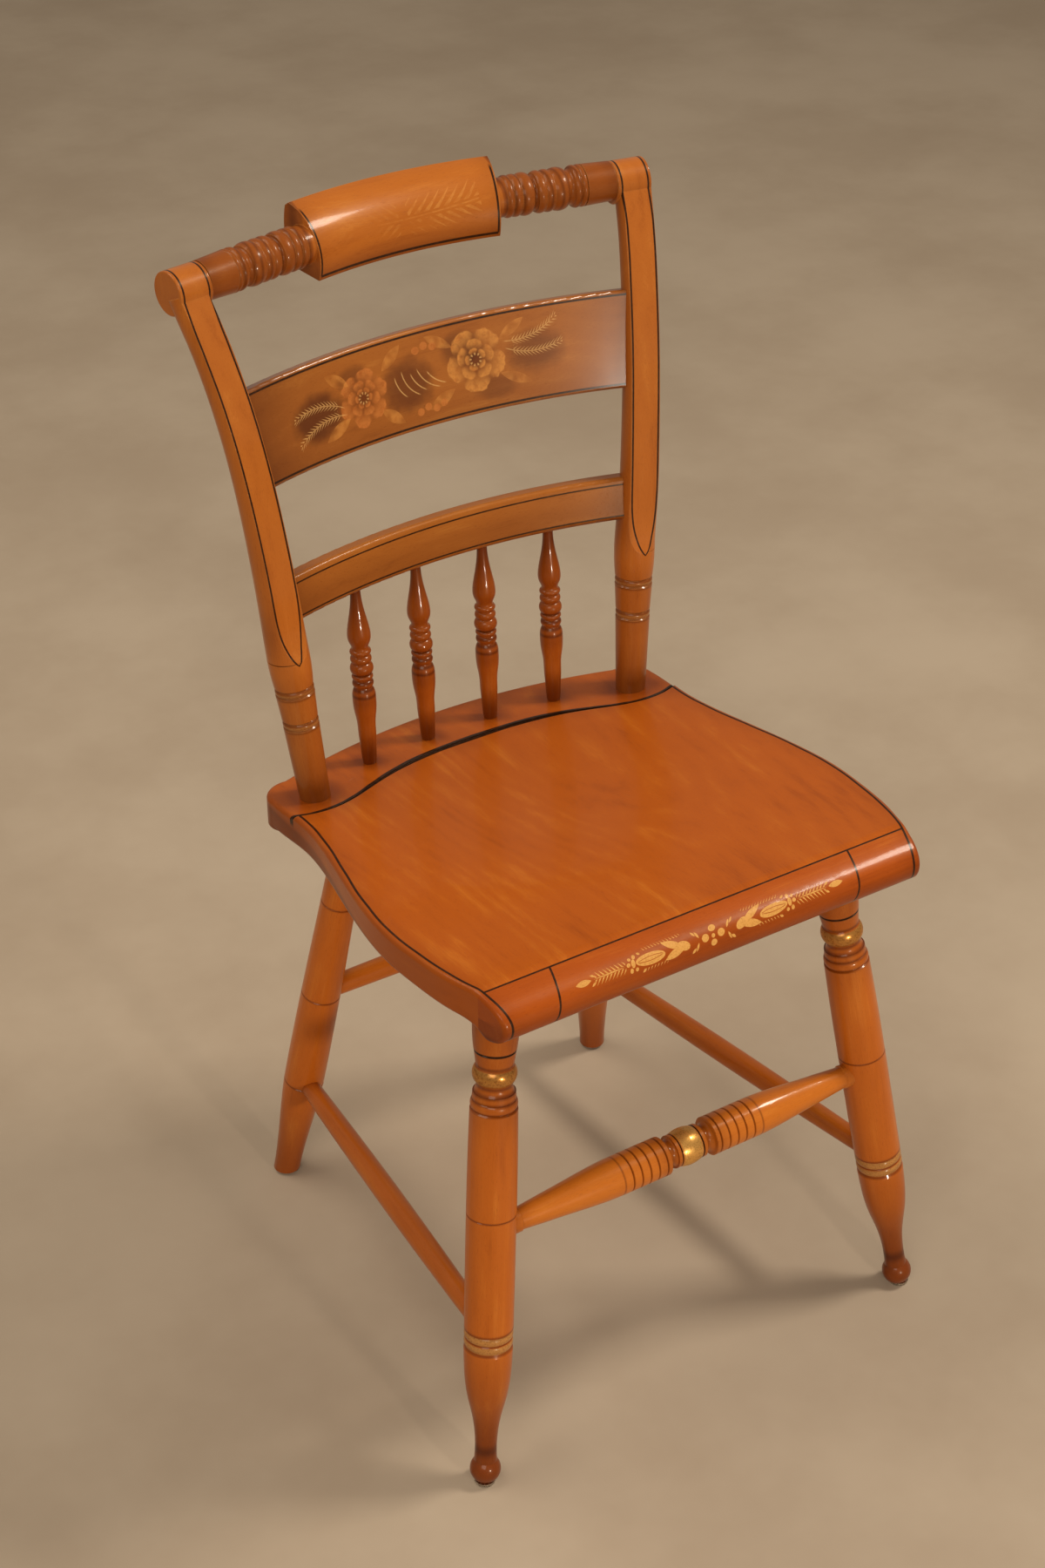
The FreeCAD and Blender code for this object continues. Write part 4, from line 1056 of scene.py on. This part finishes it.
@dataclass
class LowerRail(BowedBoard):
    """The narrow bowed rail above the spindles."""

    node: str = "lower_rail"
    middle: Point = (0.0, 0.13, 0.5948)
    board: int = 19
    edges: Pair = (0.6062, 0.5813)
    quill_half: float = 0.0006
    lacquer: Lacquer = LACQUER

    def tone(self, coat: Coat, x: Signal, z: Signal, front: Signal) -> None:
        """Paints shade on the rail towards its ends, where it meets the posts, and along its lower edge."""
        # Painted shade at the ends and along the lower edge.
        coat.darken(abs(x).above(0.132, 0.022) * 0.45)
        coat.darken(front * z.below(0.598, 0.014) * 0.50)


@dataclass
class BackSlat(BowedBoard):
    """The broad bowed slat, whose front also has a shaded flower panel."""

    node: str = "slat"
    middle: Point = (0.0, 0.16, 0.7208)
    board: int = 13
    edges: Pair = (0.7546, 0.6869)
    quill_half: float = 0.0008
    lacquer: Lacquer = SLAT_LACQUER
    lean: float = math.radians(13.6)

    def tone(self, coat: Coat, x: Signal, z: Signal, front: Signal) -> None:
        """Paints shade on the slat's ends, lower part and left side, and paints its flowers.

        Args:
            coat: The surface so far.
            x: Distance to the right of the slat's middle.
            z: Height above the floor.
            front: The mask of the slat's front face.
        """
        # Painted shade at the ends, on the lower part and on the left side.
        coat.darken(abs(x).above(0.138, 0.026) * 0.50)
        coat.darken(z.below(0.700, 0.018) * 0.40)
        coat.darken(x.below(-0.105, 0.055) * 0.40)
        v = (z - self.middle[2]) * (MILLIMETRES / math.cos(self.lean))
        self.flowers(coat, coat.bench.join(x * MILLIMETRES, v, 0.0), front)

    def flowers(self, coat: Coat, field: Socket, front: Signal) -> None:
        """A spray of open flowers, leaves, berries and wheat over shaded clouds.

        Args:
            coat: The surface so far.
            field: Places on the panel, in millimetres from its middle.
            front: The mask of the slat's front face.
        """
        bench = coat.bench
        puff = bench.noise(field, 0.07, 2.0)
        clouds = []
        for across, up, long, high, strength in (
            (-104.0, -3.0, 52.0, 40.0, 0.95), (-22.0, -2.0, 50.0, 44.0, 0.85), (26.0, 15.0, 36.0, 30.0, 0.70),
            (88.0, 2.0, 50.0, 36.0, 0.70), (-70.0, 16.0, 30.0, 22.0, 0.60), (52.0, -20.0, 40.0, 22.0, 0.50),
        ):
            x, y, _ = bench.split(bench.lay(field, across, up, size=(long / 2, high / 2, 1.0)))
            clouds.append(bench.rise(x * x + y * y + puff * 0.9 - 0.45, 1.25, 0.20) * strength)
        coat.darken(any_of(clouds) * front, SMOKE)
        self.bloom(coat, field, front, ROSE, (-62.0, -1.0), 22.0, 6, 0.3)
        self.bloom(coat, field, front, PETAL, (38.0, 4.0), 25.0, 5, 0.9)

        leaves = (
            (-84.0, 18.0, 24.0, 9.0, 148), (-88.0, -18.0, 26.0, 9.0, 205), (-34.0, 22.0, 24.0, 9.0, 40),
            (-38.0, -22.0, 24.0, 9.0, -38), (8.0, 24.0, 26.0, 8.0, 150), (6.0, -20.0, 26.0, 9.0, 205),
            (70.0, 22.0, 26.0, 8.0, 32), (70.0, -16.0, 28.0, 8.0, -24),
        )
        faded = bench.noise(field, 0.11, 1.0).above(0.50, 0.22) * 0.75 + 0.15
        PETAL.brush(coat, cut_all(bench, field, [Stroke(*leaf) for leaf in leaves]) * faded * front * 0.70)
        berries = [
            Stroke(start + pitch * step, up + zigzag * (step % 2), long, high, rounded=True)
            for start, up, pitch, zigzag, count, long, high in (
                (-12.0, 22.0, 7.5, 2.0, 3, 6.4, 6.2), (-14.0, -25.0, 7.0, 2.5, 4, 6.0, 5.8),
            )
            for step in range(count)
        ]
        ROSE.brush(coat, cut_all(bench, field, berries) * front * 0.75)

        for ear in ((-100.0, 4.0, 172.0), (-100.0, -8.0, 190.0), (84.0, 14.0, 14.0), (84.0, 2.0, -4.0)):
            along, side, _ = bench.split(bench.lay(field, *ear))
            side = side - along * along * 0.010
            grains = row_of_barbs(along, side, -14.0, 26.0, 3.0, 1.5, 4.0, 1.2)
            stem = side.near(0.0, 0.30, 0.25) * along.near(0.0, 20.0, 1.5)
            PALE_GOLD.brush(coat, grains.either(stem) * front * 0.70)
        for step in range(5):
            along, side, _ = bench.split(bench.lay(field, -30.0 + 8.0 * step, -3.0, -62 + 6 * step))
            curl = (side - along * along * 0.020).near(0.0, 0.42, 0.30)
            PALE_GOLD.brush(coat, curl * along.near(0.0, 9.0 + 3.0 * (step % 2), 1.5) * front * 0.65)

    def bloom(self, coat: Coat, field: Socket, front: Signal, paint: Paint, centre: Pair, radius: float,
              petals: int, turn: float) -> None:
        """One open flower, its petals shaded apart, with a darker heart.

        Args:
            coat: The surface so far.
            field: Places on the panel, in millimetres.
            front: The mask of the slat's front face.
            paint: The petals' paint.
            centre: The flower's middle.
            radius: The reach of its petals.
            petals: How many petals it has.
            turn: How far it is turned, in radians.
        """
        bench = coat.bench
        x, y, _ = bench.split(bench.shift(field, (*centre, 0.0), (0.0, 0.0, turn)))
        away = (x * x + y * y).power(0.5)
        angle = bench.work_out("ARCTAN2", y, x)
        ragged = bench.noise(field, 0.16, 1.0) * 5.0 - 2.5
        wear = bench.noise(field, 0.30, 2.0).above(0.42, 0.20) * 0.35 + 0.65
        for share, phase in ((1.00, 0.0), (0.64, math.pi / petals), (0.36, 0.35)):
            rim = radius * share
            wave = abs(bench.work_out("COSINE", (angle + phase) * (petals / 2), 0.0))
            shape = (away + ragged * share - wave.power(0.45) * (rim * 0.30)).below(rim * 0.70, 0.7)
            coat.darken(shape * front * 0.55, PETAL_SHADE)
            lit = away.above(rim * 0.66, rim * 0.30) * (wave.above(0.30, 0.30) * 0.75 + 0.25)
            paint.brush(coat, shape * lit * wear * front * 0.95)
        dots = away.near(radius * 0.17, 0.9, 0.5) * bench.work_out("COSINE", angle * 9.0, 0.0).above(0.2, 0.3)
        PALE_GOLD.brush(coat, dots * front * 0.6)


@dataclass
class Spindles:
    """Four short turned spindles between the seat and the lower rail."""

    boards: tuple[tuple[str, int], ...] = (("inner", 55), ("outer", 61))
    axis_inset: float = 0.006

    def build(self) -> None:
        """Finishes the spindles and reports them."""
        for word, board in self.boards:
            for side in Side:
                name = f"spindle_{word}_{side.name.lower()}"
                low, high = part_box(name)
                tall = high.z - low.z
                across = abs(low.x + high.x) / 2
                foot = (across, low.y + self.axis_inset, low.z)
                top = (across, high.y - self.axis_inset, high.z)
                Turning(
                    name, foot, top, board,
                    shades=(
                        # The first two darken the ends where the spindle meets the seat and the rail: painted
                        # shade.
                        (0.050, 0.018, 0.85), (tall - 0.050, tall - 0.020, 0.70), (0.058, 0.070, 0.40),
                        (-0.020, -0.010, 0.62),
                    ),
                    scribes=((0.0745, 0.0012), (0.0800, 0.0012), (0.0865, 0.0012), (0.0935, 0.0012)),
                ).build(side)


# Floor, lamps and camera


@dataclass
class Studio:
    """A pale concrete floor, an evenly lit room, soft lamps and the camera."""

    floor_size: float = 60.0
    floor_shades: tuple[Colour, Colour] = ((0.41, 0.315, 0.222), (0.485, 0.385, 0.280))
    room_colour: Colour = (1.0, 0.91, 0.79)
    room_light: float = 0.29
    lamp_colour: Colour = (1.0, 0.92, 0.81)
    lamp_aim: Point = (0.0, 0.0, 0.45)
    lamp_height_share: float = 0.7
    camera_place: Point = (-0.9720, -1.48644, 1.6356)
    camera_turn: float = math.radians(-32.53)
    camera_lift: float = math.radians(33.90)
    focal_length: float = 63.856
    sensor_width: float = 36.0

    def build(self) -> None:
        """Lays the floor, hangs the lamps and sets the camera."""
        self.floor()
        self.lamps()
        self.camera()
        LOG.info("studio ready")

    def floor(self) -> None:
        """Lays the floor with its faint clouds."""
        bpy.ops.object.select_all(action="DESELECT")
        bpy.ops.mesh.primitive_plane_add(size=self.floor_size, location=ORIGIN)
        floor = bpy.context.object
        floor.name = "studio_floor"
        bench = Bench("pale_concrete")
        clouds = bench.noise(bench.place, 2.6, 5.0, 0.6)
        darker, paler = self.floor_shades
        colour = bench.shades(clouds, ((0.30, darker), (0.70, paler)))
        coat = Coat(bench, colour, clouds * 0.2 + 0.70, 0.0, clouds)
        floor.data.materials.append(coat.close(BARE_CONCRETE))

    def lamps(self) -> None:
        """Hangs four soft lamps in an evenly lit room."""
        world = bpy.data.worlds.new("soft_room")
        world.use_nodes = True
        background = world.node_tree.nodes["Background"]
        background.inputs["Color"].default_value = (*self.room_colour, 1.0)
        background.inputs["Strength"].default_value = self.room_light
        bpy.context.scene.world = world
        for name, place, size, power, spread in (
            ("key_lamp", (1.70, -0.62, 2.60), 0.6, 42.0, 180),
            ("ceiling_lamp", (-1.2, 0.9, 3.0), 2.0, 34.0, 180),
            ("fill_lamp", (-2.0, -2.0, 2.4), 1.8, 28.0, 180),
            ("low_front_lamp", (-0.03, -2.40, 0.50), 0.17, 3.0, 70),
        ):
            data = bpy.data.lights.new(name, "AREA")
            data.shape = "RECTANGLE"
            data.size = size
            data.size_y = size * self.lamp_height_share
            data.energy = power
            data.color = self.lamp_colour
            data.spread = math.radians(spread)
            lamp = bpy.data.objects.new(name, data)
            lamp.location = place
            way = Vector(self.lamp_aim) - Vector(place)
            lamp.rotation_euler = way.to_track_quat("-Z", "Y").to_euler()
            bpy.context.scene.collection.objects.link(lamp)

    def camera(self) -> None:
        """Sets the camera at the photograph's angle."""
        turn, lift = self.camera_turn, self.camera_lift
        back = Vector((math.sin(turn) * math.cos(lift), -math.cos(turn) * math.cos(lift), math.sin(lift)))
        data = bpy.data.cameras.new("photograph_camera")
        data.lens = self.focal_length
        data.sensor_width = self.sensor_width
        data.sensor_fit = "AUTO"
        camera = bpy.data.objects.new("photograph_camera", data)
        camera.location = self.camera_place
        camera.rotation_euler = (-back).to_track_quat("-Z", "Y").to_euler()
        bpy.context.scene.collection.objects.link(camera)
        bpy.context.scene.camera = camera


def main() -> None:
    """Finishes the chair piece by piece and sets up the studio."""
    logging.basicConfig(level=logging.INFO, format="%(name)s %(message)s")
    bpy.context.scene.view_settings.view_transform = "Standard"
    assemblies = (SeatBoard, Legs, Stretchers, BackPosts, CrestRail, BackSlat, LowerRail, Spindles, Studio)
    for assembly in assemblies:
        assembly().build()


if __name__ == "__main__":
    main()
